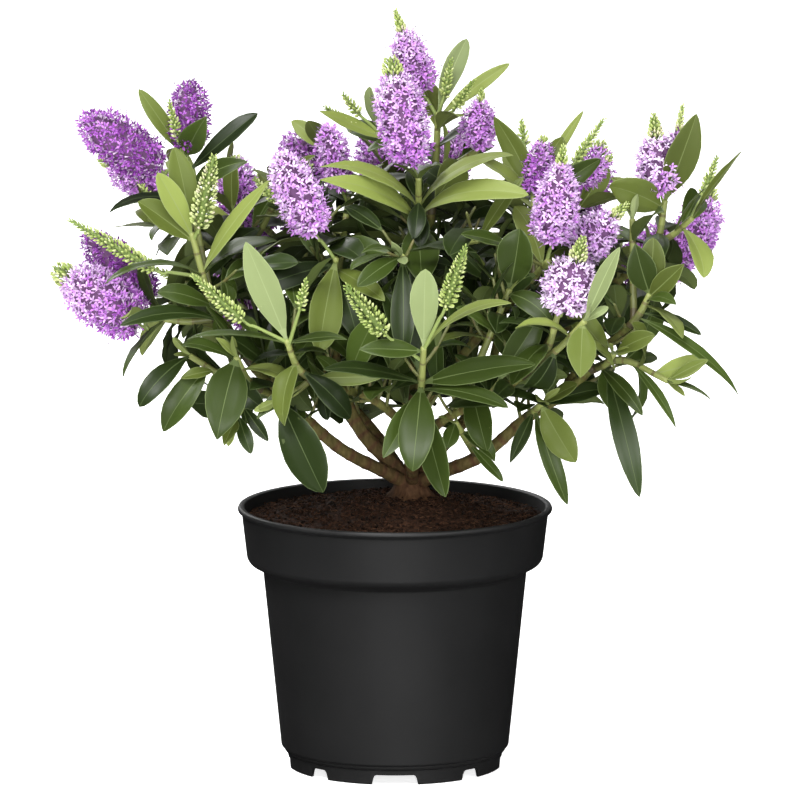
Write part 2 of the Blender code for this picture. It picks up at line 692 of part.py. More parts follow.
class Growth:
    """The whole plant's plan: limb paths, and each mass's twigs, spikes and leaves.

    What has been placed is kept as its owner, its node on a shoot, and its faces, so
    that what comes after it can be tested against it.
    """

    def __init__(self):
        self.limbs = {}
        self.taken = []
        self.twigs = {mass.name: [] for mass in MASSES}
        self.leaves = {mass.name: [] for mass in MASSES}
        self.shoots = {mass.name: [] for mass in MASSES}

    def clear(self, owner, solid):
        """Whether the solid touches nothing of another owner."""
        tree = tree_of(solid)
        return not any(other != owner and tree.overlap(found) for other, _, found in self.taken)

    def fits_among_kin(self, owner, solid, shoot, pair):
        """Whether a leaf misses its own mass's twigs, spikes and leaves, but for its own node."""
        tree = tree_of(solid)
        own_node = ((shoot,), (shoot, pair))
        for other, node, found in self.taken:
            if other == owner and node not in own_node and tree.overlap(found):
                return False
        return True

    def take(self, owner, solid, node=None):
        self.taken.append((owner, node, tree_of(solid)))

    def off_the_side(self, limb, share, towards, path_from, radii, sides):
        """The path of a stem that leaves a limb's side, slid out until it lies GAP clear of it."""
        limb_path, limb_radii, first = self.limbs[limb]
        point, _ = point_at(limb_path, share)
        leave = unit(towards - point)
        tree = tree_of(tube(limb_path, limb_radii, LIMB_SIDES, first))
        reach = limb_radii[-1]
        while True:
            path = path_from(point + leave * reach, leave)
            swollen = [path[0] - leave * GAP, *path[1:]]
            if not tree.overlap(tree_of(tube(swollen, [r + GAP for r in radii], sides, leave))):
                return path, leave
            reach += SEAT_STEP

    def grow_limb(self, limb):
        first = Vector(limb.points[0])
        radii = tapered(limb.radius, limb.tip_radius, LIMB_RINGS)

        def path_from(start, _):
            return through([start, *map(Vector, limb.points)], LIMB_RINGS)

        if limb.parent == "stem_base":
            fork = Vector((*BASE_CENTRE, SOIL_TOP + GAP + FORK_HEIGHT))
            leave = unit(first - fork)
            path = path_from(fork + leave * (FORK_REACH + GAP), leave)
        else:
            path, leave = self.off_the_side(limb.parent, limb.share, first, path_from, radii, LIMB_SIDES)
        self.limbs[limb.name] = (path, radii, leave)
        self.take(limb.name, tube(path, radii, LIMB_SIDES, leave))

    def grow_shoots(self, mass):
        """The mass's stem and shoots, as rows of a path and its leafing habit."""
        for share, tip, *habit in mass.shoots:
            tip = Vector(tip)
            if share is None:
                self.grow_stem(mass, tip, habit)
                continue
            start, _ = point_at(self.stem_of(mass), share)
            self.add_shoot(mass, sagging(start, tip), SHOOT_RADIUS, habit)

    def stem_of(self, mass):
        return self.shoots[mass.name][0][0]

    def grow_stem(self, mass, tip, habit):
        """The mass's stem, which meets its limb's tip or side GAP clear."""

        def path_from(start, leave):
            return bent(start, start + leave * STEM_LEAVE * (tip - start).length, tip, TWIG_RINGS)

        path, radii, _ = self.limbs[mass.limb]
        if mass.share == 1:
            leave = unit(path[-1] - path[-2])
            radius = min(MASS_STEM_RADIUS, radii[-1])
            self.add_shoot(mass, path_from(path[-1] + leave * GAP, leave), radius, habit, leave)
            return
        own = tapered(SHOOT_RADIUS, SHOOT_TIP_RADIUS, TWIG_RINGS)
        stem, leave = self.off_the_side(mass.limb, mass.share, tip, path_from, own, TWIG_SIDES)
        self.add_shoot(mass, stem, SHOOT_RADIUS, habit, leave)

    def add_shoot(self, mass, path, radius, habit, leave=None):
        radii = tapered(radius, SHOOT_TIP_RADIUS, len(path))
        swollen = [r + CLEARANCE for r in radii]
        is_stem = not self.shoots[mass.name]
        if not is_stem and not self.clear(mass.name, tube(path, swollen, TWIG_SIDES)):
            return
        solid = tube(path, radii, TWIG_SIDES, leave)
        self.take(mass.name, solid, (len(self.shoots[mass.name]),))
        self.twigs[mass.name].append(solid)
        self.shoots[mass.name].append((path, *habit))

    def grow_wild(self, mass, seed):
        """Side shoots by a seeded rule, and a spike on each shoot that has none."""
        rng = random.Random(seed)
        stem = self.stem_of(mass)
        out = unit(Vector((stem[-1].x, stem[-1].y, 0)))
        given = len(mass.shoots) if mass.spikes else 0
        for k in range(mass.wild):
            drift = rng.uniform(-WILD_TURN_DRIFT, WILD_TURN_DRIFT)
            turn = math.radians((k + 0.5 - mass.wild / 2) * WILD_TURN + drift)
            way = Matrix.Rotation(turn, 3, "Z") @ out
            start, _ = point_at(stem, WILD_FROM + WILD_SPREAD * k / mass.wild)
            tip = start + way * rng.uniform(*WILD_OUT) + Vector((0, 0, rng.uniform(*WILD_UP)))
            habit = (0, WILD_PAIRS, rng.uniform(*WILD_LEAVES), rng.uniform(0, 180), WILD_DROOP)
            self.add_shoot(mass, sagging(start, tip), SHOOT_RADIUS, habit)
        for index in range(given, len(self.shoots[mass.name])):
            sway = [rng.uniform(-WILD_SWAY, WILD_SWAY) for _ in range(2)]
            drift = Vector((*sway, rng.uniform(*WILD_RISE)))
            if index % IN_BUD_EVERY == IN_BUD_EVERY - 1:
                length, radius, open_part = BUD_LENGTH, BUD_RADIUS, 0
            else:
                length, radius = rng.uniform(*SPIKE_LENGTHS), SPIKE_RADIUS
                open_part = rng.choice(OPEN_PARTS)
            tip = self.shoots[mass.name][index][0][-1] + unit(out + drift) * (length + SPIKE_STALK)
            tip.x = min(max(tip.x, CROWN_LEFT + radius), CROWN_RIGHT - radius)
            tip.y = min(tip.y, CROWN_DEPTH - radius)
            tip.z = min(tip.z, WILD_TOP)
            self.grow_spike(mass, (index, STALK_SHARE, tip, length, radius, open_part))

    def grow_spike(self, mass, row):
        """A stalk from a shoot, and the spindle that its florets or buds fill."""
        shoot, share, tip, length, radius, open_part = row
        if shoot >= len(self.shoots[mass.name]):
            return
        start, _ = point_at(self.shoots[mass.name][shoot][0], share)
        tip = Vector(tip)
        chord = tip - start
        way = unit(unit(chord) + Vector((0, 0, STALK_BEND)))
        foot = tip - way * min(length, chord.length * MOST_FLOWER)
        stalk = [start, foot + unit(tip - foot) * STALK_SINK]
        stalk_solid = tube(stalk, [STALK_RADIUS] * 2, TWIG_SIDES)
        rings, sides = (SPIKE_RINGS, SPIKE_SIDES) if open_part else (BUD_RINGS, BUD_SIDES)
        swollen = spindle(foot, tip, radius + CLEARANCE, rings, sides)
        if not self.clear(mass.name, swollen) or not self.clear(mass.name, stalk_solid):
            return
        solid = spindle(foot, tip, radius, rings, sides)
        self.take(mass.name, stalk_solid, (shoot,))
        self.take(mass.name, solid)
        self.twigs[mass.name] += [stalk_solid, solid]

    def grow_set_leaves(self, mass):
        """The leaves that the front view fixes, nudged where they would touch another mass."""
        rng = random.Random(len(mass.leaves))
        for row, (shoot, share, tip, width, arch, face) in enumerate(mass.leaves):
            if shoot >= len(self.shoots[mass.name]):
                continue
            point, _ = point_at(self.shoots[mass.name][shoot][0], share)
            for attempt in range(TRIES * 2):
                nudge = Vector([rng.uniform(-1, 1) * attempt * NUDGE for _ in range(3)])
                leaf = set_leaf(point, Vector(tip) + nudge, width, arch, face)
                if self.clear(mass.name, leaf_solid(leaf, CLEARANCE)):
                    self.take(mass.name, leaf_solid(leaf), (shoot, "set", row))
                    self.leaves[mass.name].append(leaf)
                    break

    def grow_leaves(self, mass, seed):
        """Pairs at right angles down each shoot, by a seeded rule."""
        rng = random.Random(seed)
        heart = self.stem_of(mass)[-1]
        for shoot, (path, first, pairs, length, twist, droop) in enumerate(self.shoots[mass.name]):
            for pair in range(first, pairs):
                place = point_at(path, 1 - LEAFY_SHARE * pair / pairs)
                low = pair / max(pairs - 1, 1)
                for half in (0, 180):
                    for attempt in range(TRIES):
                        drift = rng.uniform(-BEARING_DRIFT, BEARING_DRIFT) * (1 + attempt)
                        bearing = twist + 90 * pair + half + drift
                        leaf = leaf_of_pair(place, bearing, pair, low, length, droop, rng)
                        solid = leaf_solid(leaf)
                        near = all((p - heart).length < REACH for p in solid[0])
                        apart = self.fits_among_kin(mass.name, solid, shoot, pair)
                        if not (near and apart and in_crown(solid[0])):
                            continue
                        if self.clear(mass.name, leaf_solid(leaf, CLEARANCE)):
                            self.take(mass.name, solid, (shoot, pair))
                            self.leaves[mass.name].append(leaf)
                            break

    def grow(self, fixed):
        """Grow it all, clear of the fixed solids: limbs, shoots, spikes, then leaves."""
        for name, solid in fixed:
            self.take(name, solid)
        for limb in LIMBS:
            self.grow_limb(limb)
        for mass in MASSES:
            self.grow_shoots(mass)
        for mass in MASSES:
            for row in mass.spikes:
                self.grow_spike(mass, row)
        for seed, mass in enumerate(MASSES):
            if mass.wild:
                self.grow_wild(mass, WILD_SEED + seed)
        for mass in MASSES:
            self.grow_set_leaves(mass)
        for seed, mass in enumerate(MASSES):
            self.grow_leaves(mass, LEAF_SEED + seed)


def turned(profile, segments):
    """A solid turned about the Z axis from a profile that starts and ends on it."""
    points = [Vector((0, 0, profile[0][1]))]
    for radius, height in profile[1:-1]:
        for k in range(segments):
            angle = 2 * math.pi * k / segments
            points.append(Vector((radius * math.cos(angle), radius * math.sin(angle), height)))
    points.append(Vector((0, 0, profile[-1][1])))
    rows = len(profile) - 2
    faces = []
    for k in range(segments):
        after = (k + 1) % segments
        faces.append((0, 1 + after, 1 + k))
        last = 1 + (rows - 1) * segments
        faces.append((last + k, last + after, len(points) - 1))
        for row in range(rows - 1):
            a = 1 + row * segments
            faces.append((a + k, a + after, a + segments + after, a + segments + k))
    return points, faces


def pot_profile():
    """Under the floor, down round the foot ring, up the outside, over the lip and down inside."""
    collar_foot = POT_HEIGHT - COLLAR_DEPTH
    return (
        (0, FLOOR_HEIGHT),
        (FOOT_RADIUS - 2.2, FLOOR_HEIGHT),
        (FOOT_RADIUS - 2.2, 0),
        (FOOT_RADIUS, 0),
        (FOOT_RADIUS + 0.7, FOOT_HEIGHT - 0.4),
        (BODY_FOOT_RADIUS, FOOT_HEIGHT + 1.4),
        (WAIST_RADIUS, collar_foot - 6.5),
        (COLLAR_RADIUS - 4.6, collar_foot - 2.0),
        (COLLAR_RADIUS - 3.2, collar_foot + 0.4),
        (COLLAR_RADIUS, POT_HEIGHT - 4.4),
        (LIP_RADIUS, POT_HEIGHT - 2.6),
        (LIP_RADIUS - 0.8, POT_HEIGHT),
        (COLLAR_RADIUS - WALL, POT_HEIGHT - 0.4),
        (COLLAR_RADIUS - 3.2 - WALL, collar_foot + 1.2),
        (WAIST_RADIUS + 0.4, collar_foot - 2.6),
        (WAIST_RADIUS - WALL, collar_foot - 7.0),
        (BODY_FOOT_RADIUS - WALL, FLOOR_HEIGHT + WALL + 1.5),
        (BODY_FOOT_RADIUS - WALL - 1.5, FLOOR_HEIGHT + WALL),
        (0, FLOOR_HEIGHT + WALL),
    )


def soil_profile():
    """The root ball, filling the pot, with a mounded top round the stems."""
    collar_foot = POT_HEIGHT - COLLAR_DEPTH
    inner = BODY_FOOT_RADIUS - WALL - GAP
    return (
        (0, FLOOR_HEIGHT + WALL + GAP),
        (inner - 1.9, FLOOR_HEIGHT + WALL + GAP),
        (inner - 0.2, FLOOR_HEIGHT + WALL + 1.8),
        (WAIST_RADIUS - WALL - GAP - 0.1, collar_foot - 7.2),
        (WAIST_RADIUS - 0.3, collar_foot - 2.4),
        (COLLAR_RADIUS - 3.8 - WALL, collar_foot + 1.6),
        (COLLAR_RADIUS - WALL - GAP - 1.3, SOIL_AT_WALL - 1.5),
        (COLLAR_RADIUS - 8.0, SOIL_AT_WALL + 1.2),
        (60, SOIL_AT_WALL + 5),
        (40, SOIL_TOP - 3),
        (28, SOIL_TOP),
        (0, SOIL_TOP),
    )


def stem_base_solids():
    """The flared foot from its flat cut on the soil, and a short fork towards each bough."""
    centre = Vector((*BASE_CENTRE, SOIL_TOP + GAP))
    points, faces = [], []
    for height, size in BASE_RINGS:
        for k in range(BASE_SIDES):
            angle = 2 * math.pi * k / BASE_SIDES
            lobes = 1 + LOBE_DEPTH * (1 - height) * math.cos(BASE_LOBES * angle + LOBE_TURN)
            radius = FLARE_RADIUS * size * lobes
            lean = Vector((-BASE_LEAN * height, 0, BASE_HEIGHT * height))
            points.append(centre + lean + Vector((radius * math.cos(angle), radius * math.sin(angle), 0)))
    for row in range(len(BASE_RINGS) - 1):
        for k in range(BASE_SIDES):
            a, b = row * BASE_SIDES + k, row * BASE_SIDES + (k + 1) % BASE_SIDES
            faces.append((a, b, b + BASE_SIDES, a + BASE_SIDES))
    faces.append(tuple(reversed(range(BASE_SIDES))))
    faces.append(tuple(range(len(points) - BASE_SIDES, len(points))))
    solids = [(points, faces)]
    fork = centre + Vector((0, 0, FORK_HEIGHT))
    for limb in LIMBS:
        if limb.parent == "stem_base":
            way = unit(Vector(limb.points[0]) - fork)
            path = [fork - way * 2, fork + way * FORK_REACH]
            solids.append(tube(path, [limb.radius + FORK_SWELL, limb.radius], LIMB_SIDES))
    return solids


def material(name, colour, roughness):
    made = bpy.data.materials.new(name)
    made.use_nodes = True
    shader = made.node_tree.nodes["Principled BSDF"]
    shader.inputs["Base Color"].default_value = (*colour, 1)
    shader.inputs["Roughness"].default_value = roughness
    made.diffuse_color = (*colour, 1)
    return made


def mesh_of(name, solid):
    points, faces = solid
    mesh = bpy.data.meshes.new(name)
    mesh.from_pydata([tuple(p * METRES) for p in points], [], faces)
    mesh.update()
    shape = bmesh.new()
    shape.from_mesh(mesh)
    bmesh.ops.triangulate(shape, faces=shape.faces[:])
    bmesh.ops.recalc_face_normals(shape, faces=shape.faces[:])
    shape.to_mesh(mesh)
    shape.free()
    return mesh


def add_object(name, solid, finish, smooth_under=None):
    made = bpy.data.objects.new(name, mesh_of(name, solid))
    bpy.context.scene.collection.objects.link(made)
    made.data.materials.append(finish)
    if smooth_under is not None:
        made.data.shade_smooth()
        made.data.set_sharp_from_angle(angle=math.radians(smooth_under))
    return made


def largest_body(mesh):
    """Drops every body of the mesh but the largest: loose scraps, and hollows sealed inside."""
    shape = bmesh.new()
    shape.from_mesh(mesh)
    left = set(shape.faces)
    bodies = []
    while left:
        body, edge = set(), [left.pop()]
        while edge:
            face = edge.pop()
            body.add(face)
            for link in face.edges:
                for neighbour in link.link_faces:
                    if neighbour in left:
                        left.discard(neighbour)
                        edge.append(neighbour)
        bodies.append(body)
    keep = max(bodies, key=lambda body: sum(face.calc_area() for face in body))
    scraps = [face for face in shape.faces if face not in keep]
    bmesh.ops.delete(shape, geom=scraps, context="FACES")
    flat = math.radians(FLAT_WITHIN)
    bmesh.ops.dissolve_limit(shape, angle_limit=flat, verts=shape.verts[:], edges=shape.edges[:])
    bmesh.ops.triangulate(shape, faces=shape.faces[:])
    shape.to_mesh(mesh)
    shape.free()


def fused(name, solids, finish):
    """One object from overlapping solids, joined by a Boolean union and cleaned of scraps."""
    whole = add_object(name, solids[0], finish)
    others = bpy.data.collections.new(name + "_pieces")
    for index, solid in enumerate(solids[1:]):
        piece = bpy.data.objects.new(f"{name}_{index}", mesh_of(f"{name}_{index}", solid))
        others.objects.link(piece)
    union = whole.modifiers.new("union", "BOOLEAN")
    union.operation = "UNION"
    union.operand_type = "COLLECTION"
    union.collection = others
    union.solver = "MANIFOLD"
    graph = bpy.context.evaluated_depsgraph_get()
    joined = bpy.data.meshes.new_from_object(whole.evaluated_get(graph))
    whole.modifiers.clear()
    whole.data = joined
    for piece in list(others.objects):
        bpy.data.objects.remove(piece)
    bpy.data.collections.remove(others)
    largest_body(joined)
    return whole


def make_pot(finish):
    pot = add_object("pot", turned(pot_profile(), POT_SEGMENTS), finish, 35)
    points, faces = [], []
    for k in range(NOTCHES):
        angle = 2 * math.pi * k / NOTCHES - math.pi / 2
        width = NARROW_NOTCH if k % 2 else WIDE_NOTCH
        out = Vector((math.cos(angle), math.sin(angle), 0))
        side = Vector((-out.y, out.x, 0))
        first = len(points)
        for height in (-4, NOTCH_HEIGHT):
            for depth, share in ((-9, -0.5), (-9, 0.5), (5, 0.5), (5, -0.5)):
                place = out * (FOOT_RADIUS + depth) + side * width * share
                points.append(place + Vector((0, 0, height)))
        faces += [tuple(first + i for i in face) for face in CUBE_FACES]
    cutter = add_object("pot_notches", (points, faces), finish)
    cutter.hide_render = True
    cutter.display_type = "WIRE"
    cut = pot.modifiers.new("notches", "BOOLEAN")
    cut.operation = "DIFFERENCE"
    cut.object = cutter
    return pot


def main():
    for old in list(bpy.data.objects):
        bpy.data.objects.remove(old, do_unlink=True)
    plastic = material("pot_plastic", (0.012, 0.012, 0.013), 0.42)
    peat = material("peat", (0.045, 0.022, 0.015), 0.95)
    bark = material("bark", (0.13, 0.085, 0.05), 0.8)
    foliage = material("foliage", (0.13, 0.22, 0.06), 0.5)

    make_pot(plastic)
    soil = turned(soil_profile(), SOIL_SEGMENTS)
    add_object("soil", soil, peat, 30)
    base = stem_base_solids()
    fused("stem_base", base, bark)

    growth = Growth()
    fixed = [("pot", turned(pot_profile(), POT_SEGMENTS)), ("soil", soil)]
    fixed += [("stem_base", solid) for solid in base]
    growth.grow(fixed)
    for limb in LIMBS:
        path, radii, leave = growth.limbs[limb.name]
        add_object(limb.name, tube(path, radii, LIMB_SIDES, leave), bark, 70)
    for mass in MASSES:
        leaves = [leaf_solid(leaf) for leaf in growth.leaves[mass.name]]
        fused(mass.name, growth.twigs[mass.name] + leaves, foliage)


main()
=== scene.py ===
"""The looks of a flowering hebe shrub in its nursery pot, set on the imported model.

The plan of limbs, shoots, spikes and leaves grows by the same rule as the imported
solids, and finer leaves, florets and buds grow on from it. The plan is in
millimetres, and becomes metres where each mesh is made.
"""

import json
import math
import random
from dataclasses import dataclass

import bpy
import numpy as np
from mathutils import Matrix, Vector, noise
from mathutils.bvhtree import BVHTree

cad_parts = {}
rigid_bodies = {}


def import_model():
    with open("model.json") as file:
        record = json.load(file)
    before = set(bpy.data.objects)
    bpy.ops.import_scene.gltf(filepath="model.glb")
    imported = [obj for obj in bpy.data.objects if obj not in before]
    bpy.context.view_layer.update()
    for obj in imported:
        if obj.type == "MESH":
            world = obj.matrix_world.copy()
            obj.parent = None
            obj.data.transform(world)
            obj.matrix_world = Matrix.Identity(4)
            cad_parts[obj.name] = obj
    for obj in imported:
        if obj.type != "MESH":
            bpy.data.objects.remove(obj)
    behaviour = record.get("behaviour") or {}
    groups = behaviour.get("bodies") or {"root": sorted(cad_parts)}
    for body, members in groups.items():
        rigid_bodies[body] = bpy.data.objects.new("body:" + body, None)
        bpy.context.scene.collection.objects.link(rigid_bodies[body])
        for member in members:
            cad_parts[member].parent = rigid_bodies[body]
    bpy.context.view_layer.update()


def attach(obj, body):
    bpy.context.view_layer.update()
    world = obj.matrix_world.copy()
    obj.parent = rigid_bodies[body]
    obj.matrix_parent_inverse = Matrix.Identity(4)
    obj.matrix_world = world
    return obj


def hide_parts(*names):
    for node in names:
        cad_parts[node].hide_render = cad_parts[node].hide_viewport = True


METRES = 0.001
GAP = 0.3

# Pot
POT_HEIGHT = 159.0
LIP_RADIUS = 95.0
COLLAR_RADIUS = 92.4
COLLAR_DEPTH = 32.0
WAIST_RADIUS = 79.6
BODY_FOOT_RADIUS = 68.7
FOOT_RADIUS = 64.6
FOOT_HEIGHT = 11.0
WALL = 1.7
FLOOR_HEIGHT = 7.0
NOTCH_HEIGHT = 6.0
WIDE_NOTCH = 28.0
NARROW_NOTCH = 14.0
NOTCHES = 8
POT_SEGMENTS = 36

# Soil
SOIL_AT_WALL = 150.0
SOIL_TOP = 163.0
SOIL_SEGMENTS = 20

# Stem base, where every stem comes from
BASE_CENTRE = (10.0, 4.0)
FLARE_RADIUS = 15.0
BASE_HEIGHT = 15.0
BASE_SIDES = 12
BASE_RINGS = ((0.0, 1.0), (0.22, 0.78), (0.6, 0.6), (1.0, 0.45))
BASE_LOBES = 4
LOBE_DEPTH = 0.1
LOBE_TURN = 0.6
BASE_LEAN = 1.5
FORK_HEIGHT = 7.0
FORK_REACH = 18.5

# Limbs and twigs
LIMB_SIDES = 6
LIMB_RINGS = 5
TWIG_SIDES = 3
TWIG_RINGS = 3
MASS_STEM_RADIUS = 2.7
STEM_LEAVE = 0.45
FORK_SWELL = 0.6
SHOOT_RADIUS = 2.3
SHOOT_TIP_RADIUS = 1.8
SHOOT_SAG = 0.12
SEAT_STEP = 0.1

# The crown's space: a mass keeps within REACH of its stem's tip
CLEARANCE = 0.7
REACH = 120.0
CROWN_LEFT = -203.5
CROWN_RIGHT = 207.0
CROWN_DEPTH = 160.0
TRIES = 4
NUDGE = 0.8

# Leaves: angles in degrees, sizes as shares of a shoot's leaf length
LEAF_WIDTH = 0.37
LEAF_KEEL = 1.3
LEAF_FOLD = 0.12
LEAF_ROOT = 0.5
LEAF_SECTIONS = ((0.0, 0.05), (0.54, 0.58))
LEAFY_SHARE = 0.82
TOP_SIZES = (0.66, 0.88)
LOW_SIZES = (0.92, 1.04)
TOP_LEAN = 26.0
MORE_LEAN = 58.0
TOP_ARCH = 14.0
MORE_ARCH = 46.0
LEAN_DRIFT = 6.0
ARCH_DRIFT = 8.0
BEARING_DRIFT = 8.0
DROOP_IN_LEAN = 0.6
SKYWARD = 0.6
LEAF_SEED = 500

# Side shoots and spikes that no view fixes
WILD_FROM = 0.25
WILD_SPREAD = 0.4
WILD_TURN = 80.0
WILD_TURN_DRIFT = 15.0
WILD_OUT = (34.0, 46.0)
WILD_UP = (24.0, 44.0)
WILD_LEAVES = (46.0, 56.0)
WILD_PAIRS = 3
WILD_DROOP = 25.0
WILD_TOP = 362.0
WILD_SWAY = 0.5
WILD_RISE = (0.1, 0.7)
IN_BUD_EVERY = 3
WILD_SEED = 100

# Flower spikes, in flower and in bud
STALK_RADIUS = 1.0
STALK_SHARE = 0.92
STALK_SINK = 2.0
STALK_BEND = 0.15
MOST_FLOWER = 0.94
SPIKE_SIDES = 5
SPIKE_RINGS = ((0.0, 0.2), (0.22, 1.0), (0.72, 0.82))
SPIKE_RADIUS = 14.0
SPIKE_LENGTHS = (44.0, 60.0)
SPIKE_STALK = 14.0
OPEN_PARTS = (0.7, 0.85, 1.0)
BUD_SIDES = 3
BUD_RINGS = ((0.0, 0.3), (0.36, 1.15))
BUD_RADIUS = 4.5
BUD_LENGTH = 30.0


@dataclass
class Limb:
    """A bough. It starts on its parent, at a share of the parent's length."""

    name: str
    parent: str
    share: float
    radius: float
    tip_radius: float
    points: tuple


@dataclass
class Mass:
    """A mass of foliage on the tip of a limb, or on its side at a share of its length."""

    name: str
    limb: str
    share: float
    shoots: tuple
    spikes: tuple = ()
    leaves: tuple = ()
    wild: int = 0


@dataclass
class Spike:
    start: Vector
    foot: Vector
    tip: Vector
    radius: float
    open_part: float


@dataclass
class Leaf:
    base: Vector
    along: Vector
    up: Vector
    length: float
    width: float
    arch: float


# Each limb: name, parent, share along the parent, radius, tip radius and the points it passes
LIMBS = (
    Limb(
        "bough_left", "stem_base", 0, 4.0, 2.7,
        ((-31, -22, 196), (-53, -30, 216), (-67, -34, 229), (-86, -37, 251)),
    ),
    Limb("bough_left_low", "bough_left", 0.62, 2.5, 2.1, ((-72, -48, 234), (-80, -60, 239))),
    Limb(
        "bough_upper_left", "stem_base", 0, 4.6, 2.8,
        ((-20, 10, 202), (-31, 15, 224), (-36, 6, 250), (-36, -12, 276)),
    ),
    Limb(
        "bough_left_back", "bough_upper_left", 0.4, 3.2, 2.4,
        ((-52, 30, 252), (-68, 40, 272), (-78, 46, 288)),
    ),
    Limb("bough_top", "stem_base", 0, 4.4, 2.8, ((10, 12, 205), (13, 16, 250), (14, 8, 300))),
    Limb("bough_top_back", "bough_top", 0.62, 2.8, 2.2, ((18, 34, 290), (22, 40, 330))),
    Limb("bough_upper_right", "bough_top", 0.3, 3.0, 2.3, ((38, -4, 248), (60, -12, 274), (72, -17, 288))),
    Limb("bough_front", "stem_base", 0, 3.6, 2.8, ((11, -34, 196), (13, -58, 215))),
    Limb(
        "bough_front_left", "bough_front", 0.45, 2.8, 2.2,
        ((2, -44, 218), (-14, -54, 233), (-31, -68, 241), (-46, -78, 247)),
    ),
    Limb(
        "bough_centre_right", "bough_front", 0.6, 2.8, 2.3,
        ((32, -58, 223), (48, -66, 231), (75, -74, 249)),
    ),
    Limb(
        "bough_right", "stem_base", 0, 4.2, 2.6,
        ((53, -18, 193), (77, -26, 215), (100, -30, 231), (116, -32, 246)),
    ),
    Limb(
        "bough_right_upper", "bough_right", 0.72, 2.6, 2.2,
        ((114, -18, 250), (130, -20, 262), (140, -26, 272)),
    ),
    Limb("bough_back_left", "stem_base", 0, 3.8, 2.6, ((-20, 42, 205), (-44, 60, 224), (-60, 72, 238))),
    Limb("bough_back_left_upper", "bough_back_left", 0.5, 2.8, 2.2, ((-46, 66, 256), (-54, 72, 282))),
    Limb("bough_back", "stem_base", 0, 3.8, 2.6, ((12, 50, 200), (12, 70, 216), (8, 86, 232))),
    Limb("bough_back_upper", "bough_back", 0.45, 2.8, 2.2, ((2, 74, 262), (-2, 80, 296))),
    Limb("bough_back_right", "stem_base", 0, 4.0, 2.6, ((42, 38, 204), (66, 58, 226), (84, 72, 240))),
    Limb("bough_back_right_upper", "bough_back_right", 0.5, 2.8, 2.2, ((64, 64, 258), (68, 74, 286))),
    Limb(
        "bough_far_right", "bough_back_right", 0.25, 3.2, 2.3,
        ((84, 30, 244), (122, 20, 282), (146, 14, 302)),
    ),
    Limb("bough_right_back", "bough_back_right", 0.7, 2.4, 2.0, ((110, 60, 248), (132, 58, 262))),
)

